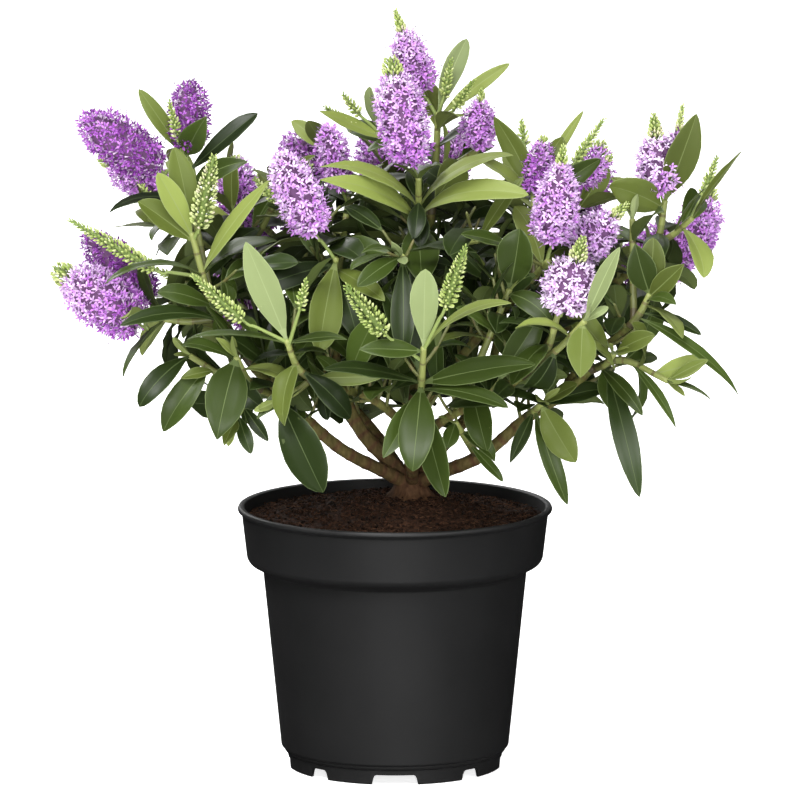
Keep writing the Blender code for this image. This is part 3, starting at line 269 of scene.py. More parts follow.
# Each shoot: share along the mass's stem, tip, its first leaf pair and how many pairs it
# is divided for, leaf length, bearing of its top pair in degrees (0 is across, 90 is fore
# and aft), and droop of its lowest pair. The first shoot of a mass is its stem, and has
# no share. Each spike: shoot, share along it, tip, length in flower, radius, open part.
# Each set leaf: shoot, share along it, tip, width, arch in degrees, and how far its
# upper side turns from up (0) to the front (90).
MASSES = (
    Mass(
        "foliage_front", "bough_front", 1,
        shoots=((None, (17, -112, 273), 3, 5, 56, 45, 60),),
        spikes=(
            (0, 0.85, (-29, -126, 312), 40, 7, 0),
            (0, 0.97, (41, -159, 340), 47, 6, 0),
        ),
        leaves=(
            (0, 1.0, (17, -118, 321), 17, 8, 90),
            (0, 0.98, (68, -130, 304), 10, 60, 25),
            (0, 0.96, (-21, -120, 272), 13, 20, 50),
            (0, 0.62, (-42, -122, 264), 14, 25, 40),
            (0, 0.62, (82, -122, 266), 19, 20, 60),
            (0, 0.55, (66, -130, 240), 13, 40, 45),
            (0, 0.6, (10, -138, 205), 22, 25, 90),
            (0, 0.5, (-4, -124, 208), 15, 30, 70),
            (0, 0.42, (29, -118, 184), 17, 25, 90),
        ),
    ),
    Mass(
        "foliage_front_left", "bough_front_left", 1,
        shoots=(
            (None, (-64, -96, 275), 2, 4, 48, 70, 30),
            (0.12, (-70, -94, 238), 1, 2, 34, 20, 60),
        ),
        spikes=(
            (0, 0.96, (-119, -112, 316), 42, 5.5, 0),
            (0, 0.9, (-52, -122, 315), 22, 4, 0),
        ),
        leaves=(
            (0, 1.0, (-87, -110, 336), 19, 6, 88),
            (0, 0.95, (-123, -106, 277), 11, 35, 25),
            (0, 0.95, (-28, -112, 280), 9, 15, 30),
            (0, 0.12, (-6, -92, 251), 11, 15, 60),
            (0, 0.1, (-84, -96, 230), 10, 20, 30),
            (1, 0.9, (-43, -114, 186), 26, 22, 85),
        ),
    ),
    Mass(
        "foliage_upper_left", "bough_upper_left", 1,
        shoots=(
            (None, (-35, -60, 318), 1, 4, 52, 80, 40),
            (0.6, (-60, -18, 345), 0, 4, 50, 30, 10),
            (0.45, (-28, 18, 343), 0, 4, 52, 0, 10),
        ),
        spikes=(
            (0, 0.97, (-68, -72, 383), 54, 14.5, 1.0),
            (2, 0.95, (-41, -6, 390), 42, 11, 0.9),
            (1, 0.95, (-50, -40, 371), 26, 4, 0),
            (1, 0.8, (-84, -30, 362), 20, 3.5, 0),
        ),
        leaves=(
            (0, 0.96, (-48, -90, 268), 21, 18, 82),
            (0, 0.9, (-84, -78, 300), 16, 30, 50),
            (0, 0.8, (-8, -88, 296), 14, 30, 50),
        ),
    ),
    Mass(
        "foliage_top", "bough_top", 1,
        shoots=(
            (None, (14, -28, 362), 2, 4, 56, 45, 40),
            (0.3, (50, -26, 324), 1, 3, 44, 30, 10),
            (0.15, (4, -64, 320), 1, 3, 44, 60, 30),
        ),
        spikes=((0, 0.98, (-3, -22, 433), 66, 16, 0.78),),
        leaves=(
            (0, 0.66, (-44, -46, 376), 14, 60, 40),
            (0, 0.52, (-44, -58, 368), 15, 42, 50),
            (0, 0.68, (69, -46, 384), 15, 50, 40),
            (0, 0.54, (80, -50, 356), 15, 75, 45),
            (0, 0.98, (-2, -38, 374), 12, 30, 20),
            (0, 0.98, (25, -38, 374), 12, 30, 20),
            (0, 0.5, (15, -62, 305), 23, 14, 88),
            (1, 1.0, (70, -52, 364), 10, 5, 60),
            (2, 0.95, (6, -100, 267), 15, 20, 80),
            (2, 0.98, (-22, -92, 306), 12, 50, 60),
            (2, 0.98, (-20, -86, 326), 8, 60, 20),
        ),
    ),
    Mass(
        "foliage_top_back", "bough_top_back", 1,
        shoots=(
            (None, (26, 30, 393), 1, 5, 48, 20, 10),
            (0.45, (50, 22, 372), 0, 4, 48, 60, 10),
            (0.35, (-8, 32, 380), 0, 4, 46, 30, 10),
        ),
        spikes=(
            (0, 0.95, (0, 30, 455), 52, 12, 0.7),
            (1, 0.95, (52, 15, 409), 38, 12, 0.8),
            (0, 0.9, (47, 6, 416), 26, 4, 0),
            (0, 0.97, (34, 28, 426), 24, 4, 0),
            (2, 0.95, (-42, 20, 398), 24, 4, 0),
            (2, 0.9, (-31, 24, 405), 16, 4, 0),
        ),
        leaves=(
            (0, 1.0, (38, 34, 440), 13, 5, 88),
            (0, 0.96, (67, 20, 426), 9, 5, 50),
            (2, 0.9, (-50, 16, 389), 11, 25, 40),
        ),
    ),
    Mass(
        "foliage_left", "bough_left", 1,
        shoots=(
            (None, (-121, -50, 332), 2, 6, 52, 35, 30),
            (0.55, (-125, -20, 374), 1, 4, 46, 60, 20),
            (0.4, (-146, -46, 281), 0, 4, 50, 20, 10),
            (0.3, (-138, 10, 284), 0, 4, 48, 40, 10),
        ),
        spikes=(
            (0, 0.95, (-107, -68, 381), 48, 7.5, 0),
            (1, 0.95, (-122, -22, 419), 40, 13, 1.0),
            (1, 0.9, (-187, -15, 397), 56, 16, 0.9),
            (1, 0.98, (-134, -38, 409), 28, 4, 0),
            (0, 0.7, (-193, -58, 341), 60, 5.5, 0),
            (2, 0.95, (-203, -32, 308), 72, 18, 0.85),
            (3, 0.95, (-186, 10, 322), 56, 14, 1.0),
        ),
        leaves=(
            (0, 1.0, (-126, -58, 385), 16, 10, 85),
            (0, 0.96, (-138, -66, 372), 14, 12, 75),
            (0, 0.94, (-152, -62, 353), 16, 15, 65),
            (0, 0.74, (-70, -66, 366), 11, 30, 40),
            (0, 0.7, (-172, -76, 306), 10, 80, 30),
            (0, 0.35, (-164, -80, 284), 11, 50, 35),
            (0, 0.5, (-140, -66, 300), 13, 30, 50),
            (1, 1.0, (-115, -48, 402), 16, 20, 75),
            (1, 0.9, (-80, -28, 399), 13, 30, 60),
            (1, 0.8, (-88, -42, 376), 13, 40, 50),
            (1, 1.0, (-153, -28, 415), 11, 10, 75),
            (1, 0.7, (-172, -34, 343), 9, 70, 30),
        ),
    ),
    Mass(
        "foliage_left_low", "bough_left_low", 1,
        shoots=(
            (None, (-94, -78, 262), 1, 3, 38, 60, 60),
            (0.3, (-94, -80, 226), 0, 1, 22, 30, 60),
            (0.3, (-122, -50, 258), 1, 3, 44, 40, 50),
        ),
        leaves=(
            (0, 0.98, (-108, -104, 217), 25, 30, 72),
            (1, 0.9, (-86, -94, 206), 9, 20, 60),
            (1, 0.6, (-76, -88, 212), 8, 20, 60),
            (1, 1.0, (-100, -98, 212), 9, 25, 60),
            (2, 1.0, (-153, -80, 233), 14, 60, 50),
            (2, 0.7, (-138, -66, 214), 17, 60, 50),
            (2, 0.6, (-128, -64, 248), 8, 20, 60),
        ),
    ),
    Mass(
        "foliage_left_back", "bough_left_back", 1,
        shoots=(
            (None, (-98, 38, 332), 0, 5, 52, 60, 10),
            (0.4, (-138, 24, 326), 0, 4, 50, 20, 20),
            (0.5, (-70, 22, 346), 0, 3, 50, 40, 10),
        ),
        spikes=((0, 0.9, (-96, 84, 358), 46, 13, 0.9), (1, 0.9, (-156, 54, 350), 26, 4, 0)),
        wild=1,
    ),
    Mass(
        "foliage_centre", "bough_centre_right", 0.45,
        shoots=((None, (68, -62, 300), 1, 4, 44, 20, 40),),
        leaves=(
            (0, 1.0, (76, -70, 337), 23, 5, 90),
            (0, 0.96, (98, -86, 283), 14, 60, 50),
            (0, 0.8, (58, -98, 280), 14, 30, 70),
            (0, 0.2, (54, -94, 208), 17, 60, 88),
        ),
    ),
    Mass(
        "foliage_centre_right", "bough_centre_right", 1,
        shoots=(
            (None, (97, -86, 291), 1, 4, 46, 60, 30),
            (0.2, (112, -100, 287), 1, 3, 44, 90, 50),
        ),
        spikes=((0, 0.95, (111, -94, 336), 50, 17, 0.72),),
        leaves=(
            (1, 0.96, (108, -118, 256), 18, 14, 88),
            (1, 1.0, (131, -108, 333), 11, 10, 60),
        ),
    ),
    Mass(
        "foliage_right_low", "bough_right", 1,
        shoots=(
            (None, (162, -56, 244), 1, 5, 44, 90, 30),
            (0.1, (130, -66, 262), 0, 3, 48, 30, 50),
        ),
        leaves=(
            (0, 0.25, (146, -94, 181), 15, 30, 75),
            (0, 0.15, (147, -74, 227), 10, 40, 50),
            (0, 0.6, (166, -72, 218), 7, 60, 45),
            (0, 1.0, (186, -62, 259), 8, 5, 45),
            (0, 0.95, (188, -72, 237), 6, 20, 30),
            (0, 0.2, (134, -46, 222), 16, 20, 50),
        ),
    ),
    Mass(
        "foliage_right_inner", "bough_right", 0.5,
        shoots=((None, (88, -52, 230), 0, 2, 44, 30, 60),),
        leaves=(
            (0, 0.9, (106, -62, 194), 19, 10, 90),
            (0, 0.5, (97, -74, 172), 12, 40, 60),
            (0, 0.4, (70, -54, 193), 9, 40, 60),
        ),
    ),
    Mass(
        "foliage_right_foot", "bough_right", 0.22,
        shoots=((None, (36, -52, 218), 1, 3, 34, 60, 60),),
        leaves=(
            (0, 1.0, (31, -66, 205), 10, 20, 80),
            (0, 0.3, (64, -44, 180), 7, 30, 60),
        ),
    ),
    Mass(
        "foliage_right", "bough_right_upper", 1,
        shoots=(
            (None, (152, -30, 292), 1, 3, 46, 50, 40),
            (0.2, (142, -8, 334), 0, 4, 48, 20, 20),
        ),
        leaves=(
            (0, 1.0, (141, -38, 323), 18, 8, 85),
            (0, 0.96, (156, -36, 327), 16, 8, 85),
            (0, 0.9, (173, -44, 312), 13, 12, 75),
            (0, 0.8, (168, -52, 290), 10, 70, 35),
            (0, 0.35, (206, -66, 240), 9, 45, 45),
            (0, 0.5, (183, -40, 269), 8, 45, 35),
        ),
    ),
    Mass(
        "foliage_far_right", "bough_far_right", 1,
        shoots=(
            (None, (162, 8, 343), 1, 4, 46, 70, 20),
            (0.4, (178, -2, 334), 0, 3, 48, 20, 30),
        ),
        spikes=(
            (0, 0.95, (155, 10, 395), 48, 15, 0.72),
            (0, 0.9, (173, 26, 399), 36, 7, 0.45),
            (1, 0.95, (193, 4, 370), 25, 4, 0),
        ),
        leaves=(
            (0, 0.9, (127, -8, 354), 21, 60, 65),
            (0, 1.0, (181, -10, 397), 20, 8, 88),
            (1, 0.96, (206, -10, 377), 8, 5, 25),
            (1, 0.5, (184, -14, 353), 9, 20, 25),
        ),
    ),
    Mass(
        "foliage_upper_right", "bough_upper_right", 1,
        shoots=(
            (None, (91, -48, 315), 1, 4, 48, 30, 20),
            (0.5, (83, 2, 348), 0, 5, 50, 40, 10),
        ),
        spikes=(
            (0, 0.95, (100, -56, 385), 60, 15, 0.95),
            (1, 0.97, (89, 2, 382), 34, 10, 0.9),
            (0, 0.7, (139, -18, 345), 44, 14, 0.7),
            (1, 0.85, (125, 4, 393), 32, 4, 0),
            (1, 0.9, (130, 18, 368), 26, 9, 0.8),
            (1, 0.9, (76, 20, 390), 16, 4, 0),
        ),
        leaves=(
            (1, 1.0, (67, 8, 397), 15, 8, 85),
            (1, 0.9, (96, 12, 385), 10, 40, 40),
            (1, 0.95, (109, 20, 401), 6, 5, 60),
            (1, 0.8, (118, -8, 376), 14, 20, 60),
        ),
    ),
    Mass(
        "foliage_back_left_low", "bough_back_left", 1,
        shoots=((None, (-84, 92, 258), 0, 4, 52, 30, 50),),
        wild=2,
    ),
    Mass(
        "foliage_back_left", "bough_back_left_upper", 1,
        shoots=((None, (-66, 86, 322), 0, 4, 52, 60, 20),),
        wild=2,
    ),
    Mass(
        "foliage_back_low", "bough_back", 1,
        shoots=((None, (4, 112, 258), 0, 4, 52, 70, 50),),
        wild=2,
    ),
    Mass(
        "foliage_back", "bough_back_upper", 1,
        shoots=((None, (-4, 94, 348), 0, 4, 52, 20, 20),),
        wild=3,
    ),
    Mass(
        "foliage_back_right_low", "bough_back_right", 1,
        shoots=((None, (104, 92, 260), 0, 4, 52, 50, 50),),
        wild=2,
    ),
    Mass(
        "foliage_back_right", "bough_back_right_upper", 1,
        shoots=((None, (80, 86, 326), 0, 4, 52, 40, 20),),
        wild=2,
    ),
    Mass(
        "foliage_right_back", "bough_right_back", 1,
        shoots=((None, (154, 62, 292), 0, 4, 50, 20, 30),),
        wild=1,
    ),
)


def unit(vector):
    return vector.normalized()


def across(direction):
    """A unit vector square to the direction, as near to +X as it can be."""
    side = Vector((1, 0, 0)) - direction * direction.x
    if side.length < 0.2:
        side = Vector((0, -1, 0)) + direction * direction.y
    return unit(side)


def through(points, count):
    """Points read from a smooth curve through the given points, evenly by step."""
    ends = [points[0] * 2 - points[1], *points, points[-1] * 2 - points[-2]]
    path = []
    for step in range(count):
        place = step / (count - 1) * (len(points) - 1)
        i = min(int(place), len(points) - 2)
        t = place - i
        a, b, c, d = ends[i : i + 4]
        square, cube = 2 * a - 5 * b + 4 * c - d, 3 * b - a - 3 * c + d
        path.append(0.5 * (2 * b + (c - a) * t + square * t**2 + cube * t**3))
    return path


def bent(start, control, end, count):
    """Points along the curve that leaves start towards control and comes to end."""
    path = []
    for step in range(count):
        t = step / (count - 1)
        path.append(start * (1 - t) ** 2 + control * 2 * t * (1 - t) + end * t * t)
    return path


def sagging(start, tip):
    """A side shoot's path, which leaves low and turns up to its tip."""
    control = start.lerp(tip, 0.5) - Vector((0, 0, SHOOT_SAG * (tip - start).length))
    return bent(start, control, tip, TWIG_RINGS)


def point_at(path, share):
    """The point and the direction at a share of the path's steps."""
    place = min(max(share, 0), 1) * (len(path) - 1)
    i = min(int(place), len(path) - 2)
    return path[i].lerp(path[i + 1], place - i), unit(path[i + 1] - path[i])


def tube(path, radii, sides, first=None):
    """A closed solid round the path, with flat ends. The first end may face its own way."""
    points, faces = [], []
    side = across(first or unit(path[1] - path[0]))
    for i, centre in enumerate(path):
        direction = unit(path[min(i + 1, len(path) - 1)] - path[max(i - 1, 0)])
        if i == 0 and first:
            direction = first
        side = unit(side - direction * side.dot(direction))
        other = direction.cross(side)
        for k in range(sides):
            angle = 2 * math.pi * k / sides
            points.append(centre + (side * math.cos(angle) + other * math.sin(angle)) * radii[i])
    for i in range(len(path) - 1):
        for k in range(sides):
            a, b = i * sides + k, i * sides + (k + 1) % sides
            faces.append((a, b, b + sides, a + sides))
    faces.append(tuple(reversed(range(sides))))
    faces.append(tuple(range(len(points) - sides, len(points))))
    return points, faces


def tapered(start, end, count):
    return [start + (end - start) * i / (count - 1) for i in range(count)]


def spindle(start, end, radius, rings, sides):
    """A closed solid with a ring at each share of its length, ending in a point."""
    direction = unit(end - start)
    side = across(direction)
    other = direction.cross(side)
    points, faces = [], []
    for row, (share, size) in enumerate(rings):
        for k in range(sides):
            angle = 2 * math.pi * (k + 0.5 * (row % 2)) / sides
            place = side * math.cos(angle) + other * math.sin(angle)
            points.append(start.lerp(end, share) + place * radius * size)
    points.append(end)
    for row in range(len(rings) - 1):
        for k in range(sides):
            a, b = row * sides + k, row * sides + (k + 1) % sides
            if row % 2:
                faces += [(a, b, b + sides), (a, b + sides, a + sides)]
            else:
                faces += [(a, b, a + sides), (b, b + sides, a + sides)]
    last = (len(rings) - 1) * sides
    for k in range(sides):
        faces.append((last + k, last + (k + 1) % sides, len(points) - 1))
    faces.append(tuple(reversed(range(sides))))
    return points, faces


def leaf_solid(leaf, swell=0.0):
    """A keeled blade that arches over towards its underside, swollen by some clearance."""
    side = leaf.along.cross(leaf.up)
    bend = math.radians(max(leaf.arch, 1))
    points = []
    for share, half_width in (*LEAF_SECTIONS, (1.0, 0)):
        turn = bend * share
        run, fall = math.sin(turn) / bend, (1 - math.cos(turn)) / bend
        centre = leaf.base + (leaf.along * run - leaf.up * fall) * leaf.length
        up = leaf.up * math.cos(turn) + leaf.along * math.sin(turn)
        if share == 1.0:
            points.append(centre + (leaf.along * math.cos(turn) - leaf.up * math.sin(turn)) * swell)
            continue
        half = half_width * leaf.width + swell
        rim = centre + up * (LEAF_FOLD * half + swell)
        points += [rim - side * half, rim + side * half, centre - up * (LEAF_KEEL + swell)]
    faces = [(0, 1, 2)]
    faces += [(0, 3, 4, 1), (1, 4, 5, 2), (2, 5, 3, 0)]
    faces += [(3, 6, 4), (4, 6, 5), (5, 6, 3)]
    return points, faces


def set_leaf(base, tip, width, arch, face):
    """A leaf from its base to its tip, arched by some degrees and turned to the front."""
    chord = tip - base
    way = unit(chord)
    turn = math.radians(face)
    up = Vector((0, -math.sin(turn), math.cos(turn)))
    up = unit(up - way * up.dot(way))
    half = math.radians(max(arch, 1)) / 2
    along = way * math.cos(half) + up * math.sin(half)
    length = chord.length * half / math.sin(half)
    up = up * math.cos(half) - way * math.sin(half)
    return Leaf(base - along * LEAF_ROOT, along, up, length, width, arch)


def leaf_of_pair(place, bearing, pair, low, length, droop, rng):
    """A leaf by rule. The top pair is small and upright, and the lowest spreads and droops."""
    point, direction = place
    turn = math.radians(bearing)
    side = across(direction)
    out = side * math.cos(turn) + direction.cross(side) * math.sin(turn)
    lean = TOP_LEAN + (MORE_LEAN + DROOP_IN_LEAN * droop) * low + rng.uniform(-LEAN_DRIFT, LEAN_DRIFT)
    lean = math.radians(lean)
    along = direction * math.cos(lean) + out * math.sin(lean)
    up = direction * math.sin(lean) - out * math.cos(lean)
    up = unit(up + (Vector((0, 0, 1)) - along * along.z) * SKYWARD)
    up = unit(up - along * up.dot(along))
    size = length * (TOP_SIZES[pair] if pair < len(TOP_SIZES) else rng.uniform(*LOW_SIZES))
    arch = TOP_ARCH + (MORE_ARCH + droop) * low + rng.uniform(-ARCH_DRIFT, ARCH_DRIFT)
    return Leaf(point - along * LEAF_ROOT, along, up, size, size * LEAF_WIDTH, arch)


def in_crown(points):
    """Whether every point lies within the crown's width and depth."""
    return all(CROWN_LEFT <= p.x <= CROWN_RIGHT and abs(p.y) <= CROWN_DEPTH for p in points)


def tree_of(solid):
    points, faces = solid
    return BVHTree.FromPolygons([tuple(p) for p in points], faces)


class Growth:
    """The whole plant's plan: limb paths, and each mass's twigs, spikes and leaves.

    What has been placed is kept as its owner, its node on a shoot, and its faces, so
    that what comes after it can be tested against it.
    """

    def __init__(self):
        self.limbs = {}
        self.taken = []
        self.outlines = []
        self.is_shoot = []
        self.twigs = {mass.name: [] for mass in MASSES}
        self.leaves = {mass.name: [] for mass in MASSES}
        self.kinds = {mass.name: [] for mass in MASSES}
        self.shoots = {mass.name: [] for mass in MASSES}
        self.spikes = {mass.name: [] for mass in MASSES}

    def clear(self, owner, solid):
        """Whether the solid touches nothing of another owner."""
        tree = tree_of(solid)
        return not any(other != owner and tree.overlap(found) for other, _, found in self.taken)

    def fits_among_kin(self, owner, solid, shoot, pair):
        """Whether a leaf misses its own mass's twigs, spikes and leaves, but for its own node."""
        tree = tree_of(solid)
        own_node = ((shoot,), (shoot, pair))
        for other, node, found in self.taken:
            if other == owner and node not in own_node and tree.overlap(found):
                return False
        return True

    def take(self, owner, solid, node=None, is_shoot=False):
        self.taken.append((owner, node, tree_of(solid)))
        self.outlines.append([tuple(p) for p in solid[0]])
        self.is_shoot.append(is_shoot)

    def off_the_side(self, limb, share, towards, path_from, radii, sides):
        """The path of a stem that leaves a limb's side, slid out until it lies GAP clear of it."""
        limb_path, limb_radii, first = self.limbs[limb]
        point, _ = point_at(limb_path, share)
        leave = unit(towards - point)
        tree = tree_of(tube(limb_path, limb_radii, LIMB_SIDES, first))
        reach = limb_radii[-1]
        while True:
            path = path_from(point + leave * reach, leave)
            swollen = [path[0] - leave * GAP, *path[1:]]
            if not tree.overlap(tree_of(tube(swollen, [r + GAP for r in radii], sides, leave))):
                return path, leave
            reach += SEAT_STEP

    def grow_limb(self, limb):
        first = Vector(limb.points[0])
        radii = tapered(limb.radius, limb.tip_radius, LIMB_RINGS)

        def path_from(start, _):
            return through([start, *map(Vector, limb.points)], LIMB_RINGS)

        if limb.parent == "stem_base":
            fork = Vector((*BASE_CENTRE, SOIL_TOP + GAP + FORK_HEIGHT))
            leave = unit(first - fork)
            path = path_from(fork + leave * (FORK_REACH + GAP), leave)
        else:
            path, leave = self.off_the_side(limb.parent, limb.share, first, path_from, radii, LIMB_SIDES)
        self.limbs[limb.name] = (path, radii, leave)
        self.take(limb.name, tube(path, radii, LIMB_SIDES, leave))

    def grow_shoots(self, mass):
        """The mass's stem and shoots, as rows of a path and its leafing habit."""
        for share, tip, *habit in mass.shoots:
            tip = Vector(tip)
            if share is None:
                self.grow_stem(mass, tip, habit)
                continue
            start, _ = point_at(self.stem_of(mass), share)
            self.add_shoot(mass, sagging(start, tip), SHOOT_RADIUS, habit)

    def stem_of(self, mass):
        return self.shoots[mass.name][0][0]

    def grow_stem(self, mass, tip, habit):
        """The mass's stem, which meets its limb's tip or side GAP clear."""

        def path_from(start, leave):
            return bent(start, start + leave * STEM_LEAVE * (tip - start).length, tip, TWIG_RINGS)

        path, radii, _ = self.limbs[mass.limb]
        if mass.share == 1:
            leave = unit(path[-1] - path[-2])
            radius = min(MASS_STEM_RADIUS, radii[-1])
            self.add_shoot(mass, path_from(path[-1] + leave * GAP, leave), radius, habit, leave)
            return
        own = tapered(SHOOT_RADIUS, SHOOT_TIP_RADIUS, TWIG_RINGS)
        stem, leave = self.off_the_side(mass.limb, mass.share, tip, path_from, own, TWIG_SIDES)
        self.add_shoot(mass, stem, SHOOT_RADIUS, habit, leave)

    def add_shoot(self, mass, path, radius, habit, leave=None):
        radii = tapered(radius, SHOOT_TIP_RADIUS, len(path))
        swollen = [r + CLEARANCE for r in radii]
        is_stem = not self.shoots[mass.name]
        if not is_stem and not self.clear(mass.name, tube(path, swollen, TWIG_SIDES)):
            return
        solid = tube(path, radii, TWIG_SIDES, leave)
        self.take(mass.name, solid, (len(self.shoots[mass.name]),), True)
        self.twigs[mass.name].append(solid)
        self.shoots[mass.name].append((path, *habit))

    def grow_wild(self, mass, seed):
        """Side shoots by a seeded rule, and a spike on each shoot that has none."""
        rng = random.Random(seed)
        stem = self.stem_of(mass)
        out = unit(Vector((stem[-1].x, stem[-1].y, 0)))
        given = len(mass.shoots) if mass.spikes else 0
        for k in range(mass.wild):
            drift = rng.uniform(-WILD_TURN_DRIFT, WILD_TURN_DRIFT)
            turn = math.radians((k + 0.5 - mass.wild / 2) * WILD_TURN + drift)
            way = Matrix.Rotation(turn, 3, "Z") @ out
            start, _ = point_at(stem, WILD_FROM + WILD_SPREAD * k / mass.wild)
            tip = start + way * rng.uniform(*WILD_OUT) + Vector((0, 0, rng.uniform(*WILD_UP)))
            habit = (0, WILD_PAIRS, rng.uniform(*WILD_LEAVES), rng.uniform(0, 180), WILD_DROOP)
            self.add_shoot(mass, sagging(start, tip), SHOOT_RADIUS, habit)
        for index in range(given, len(self.shoots[mass.name])):
            sway = [rng.uniform(-WILD_SWAY, WILD_SWAY) for _ in range(2)]
            drift = Vector((*sway, rng.uniform(*WILD_RISE)))
            if index % IN_BUD_EVERY == IN_BUD_EVERY - 1:
                length, radius, open_part = BUD_LENGTH, BUD_RADIUS, 0
            else:
                length, radius = rng.uniform(*SPIKE_LENGTHS), SPIKE_RADIUS
                open_part = rng.choice(OPEN_PARTS)
            tip = self.shoots[mass.name][index][0][-1] + unit(out + drift) * (length + SPIKE_STALK)
            tip.x = min(max(tip.x, CROWN_LEFT + radius), CROWN_RIGHT - radius)
            tip.y = min(tip.y, CROWN_DEPTH - radius)
            tip.z = min(tip.z, WILD_TOP)
            self.grow_spike(mass, (index, STALK_SHARE, tip, length, radius, open_part))

    def grow_spike(self, mass, row):
        """A stalk from a shoot, and the spindle that its florets or buds fill."""
        shoot, share, tip, length, radius, open_part = row
        if shoot >= len(self.shoots[mass.name]):
            return
        start, _ = point_at(self.shoots[mass.name][shoot][0], share)
        tip = Vector(tip)
        chord = tip - start
        way = unit(unit(chord) + Vector((0, 0, STALK_BEND)))
        foot = tip - way * min(length, chord.length * MOST_FLOWER)
        stalk = [start, foot + unit(tip - foot) * STALK_SINK]
        stalk_solid = tube(stalk, [STALK_RADIUS] * 2, TWIG_SIDES)
        rings, sides = (SPIKE_RINGS, SPIKE_SIDES) if open_part else (BUD_RINGS, BUD_SIDES)
        swollen = spindle(foot, tip, radius + CLEARANCE, rings, sides)
        if not self.clear(mass.name, swollen) or not self.clear(mass.name, stalk_solid):
            return
        solid = spindle(foot, tip, radius, rings, sides)
        self.take(mass.name, stalk_solid, (shoot,))
        self.take(mass.name, solid)
        self.twigs[mass.name] += [stalk_solid, solid]
        self.spikes[mass.name].append(Spike(start, foot, tip, radius, open_part))

    def grow_set_leaves(self, mass):
        """The leaves that the front view fixes, nudged where they would touch another mass."""
        rng = random.Random(len(mass.leaves))
        for row, (shoot, share, tip, width, arch, face) in enumerate(mass.leaves):
            if shoot >= len(self.shoots[mass.name]):
                continue
            point, _ = point_at(self.shoots[mass.name][shoot][0], share)
            for attempt in range(TRIES * 2):
                nudge = Vector([rng.uniform(-1, 1) * attempt * NUDGE for _ in range(3)])
                leaf = set_leaf(point, Vector(tip) + nudge, width, arch, face)
                if self.clear(mass.name, leaf_solid(leaf, CLEARANCE)):
                    self.take(mass.name, leaf_solid(leaf), (shoot, "set", row))
                    self.leaves[mass.name].append(leaf)
                    self.kinds[mass.name].append(row)
                    break

    def grow_leaves(self, mass, seed):
        """Pairs at right angles down each shoot, by a seeded rule."""
        rng = random.Random(seed)
        heart = self.stem_of(mass)[-1]
        for shoot, (path, first, pairs, length, twist, droop) in enumerate(self.shoots[mass.name]):
            for pair in range(first, pairs):
                place = point_at(path, 1 - LEAFY_SHARE * pair / pairs)
                low = pair / max(pairs - 1, 1)
                for half in (0, 180):
                    for attempt in range(TRIES):
                        drift = rng.uniform(-BEARING_DRIFT, BEARING_DRIFT) * (1 + attempt)
                        bearing = twist + 90 * pair + half + drift
                        leaf = leaf_of_pair(place, bearing, pair, low, length, droop, rng)
                        solid = leaf_solid(leaf)
                        near = all((p - heart).length < REACH for p in solid[0])
                        apart = self.fits_among_kin(mass.name, solid, shoot, pair)
                        if not (near and apart and in_crown(solid[0])):
                            continue
                        if self.clear(mass.name, leaf_solid(leaf, CLEARANCE)):
                            self.take(mass.name, solid, (shoot, pair))
                            self.leaves[mass.name].append(leaf)
                            self.kinds[mass.name].append((shoot, pair, low))
                            break

    def grow(self, fixed):
        """Grow it all, clear of the fixed solids: limbs, shoots, spikes, then leaves."""
        for name, solid in fixed:
            self.take(name, solid)
        for limb in LIMBS:
            self.grow_limb(limb)
        for mass in MASSES:
            self.grow_shoots(mass)
        for mass in MASSES:
            for row in mass.spikes:
                self.grow_spike(mass, row)
        for seed, mass in enumerate(MASSES):
            if mass.wild:
                self.grow_wild(mass, WILD_SEED + seed)
        for mass in MASSES:
            self.grow_set_leaves(mass)
        for seed, mass in enumerate(MASSES):
            self.grow_leaves(mass, LEAF_SEED + seed)


def turned(profile, segments):
    """A solid turned about the Z axis from a profile that starts and ends on it."""
    points = [Vector((0, 0, profile[0][1]))]
    for radius, height in profile[1:-1]:
        for k in range(segments):
            angle = 2 * math.pi * k / segments
            points.append(Vector((radius * math.cos(angle), radius * math.sin(angle), height)))
    points.append(Vector((0, 0, profile[-1][1])))
    rows = len(profile) - 2
    faces = []
    for k in range(segments):
        after = (k + 1) % segments
        faces.append((0, 1 + after, 1 + k))
        last = 1 + (rows - 1) * segments
        faces.append((last + k, last + after, len(points) - 1))
        for row in range(rows - 1):
            a = 1 + row * segments
            faces.append((a + k, a + after, a + segments + after, a + segments + k))
    return points, faces


def pot_profile():
    """Under the floor, down round the foot ring, up the outside, over the lip and down inside."""
    collar_foot = POT_HEIGHT - COLLAR_DEPTH
    return (
        (0, FLOOR_HEIGHT),
        (FOOT_RADIUS - 2.2, FLOOR_HEIGHT),
        (FOOT_RADIUS - 2.2, 0),
        (FOOT_RADIUS, 0),
        (FOOT_RADIUS + 0.7, FOOT_HEIGHT - 0.4),
        (BODY_FOOT_RADIUS, FOOT_HEIGHT + 1.4),
        (WAIST_RADIUS, collar_foot - 6.5),
        (COLLAR_RADIUS - 4.6, collar_foot - 2.0),
        (COLLAR_RADIUS - 3.2, collar_foot + 0.4),
        (COLLAR_RADIUS, POT_HEIGHT - 4.4),
        (LIP_RADIUS, POT_HEIGHT - 2.6),
        (LIP_RADIUS - 0.8, POT_HEIGHT),
        (COLLAR_RADIUS - WALL, POT_HEIGHT - 0.4),
        (COLLAR_RADIUS - 3.2 - WALL, collar_foot + 1.2),
        (WAIST_RADIUS + 0.4, collar_foot - 2.6),
        (WAIST_RADIUS - WALL, collar_foot - 7.0),
        (BODY_FOOT_RADIUS - WALL, FLOOR_HEIGHT + WALL + 1.5),
        (BODY_FOOT_RADIUS - WALL - 1.5, FLOOR_HEIGHT + WALL),
        (0, FLOOR_HEIGHT + WALL),
    )


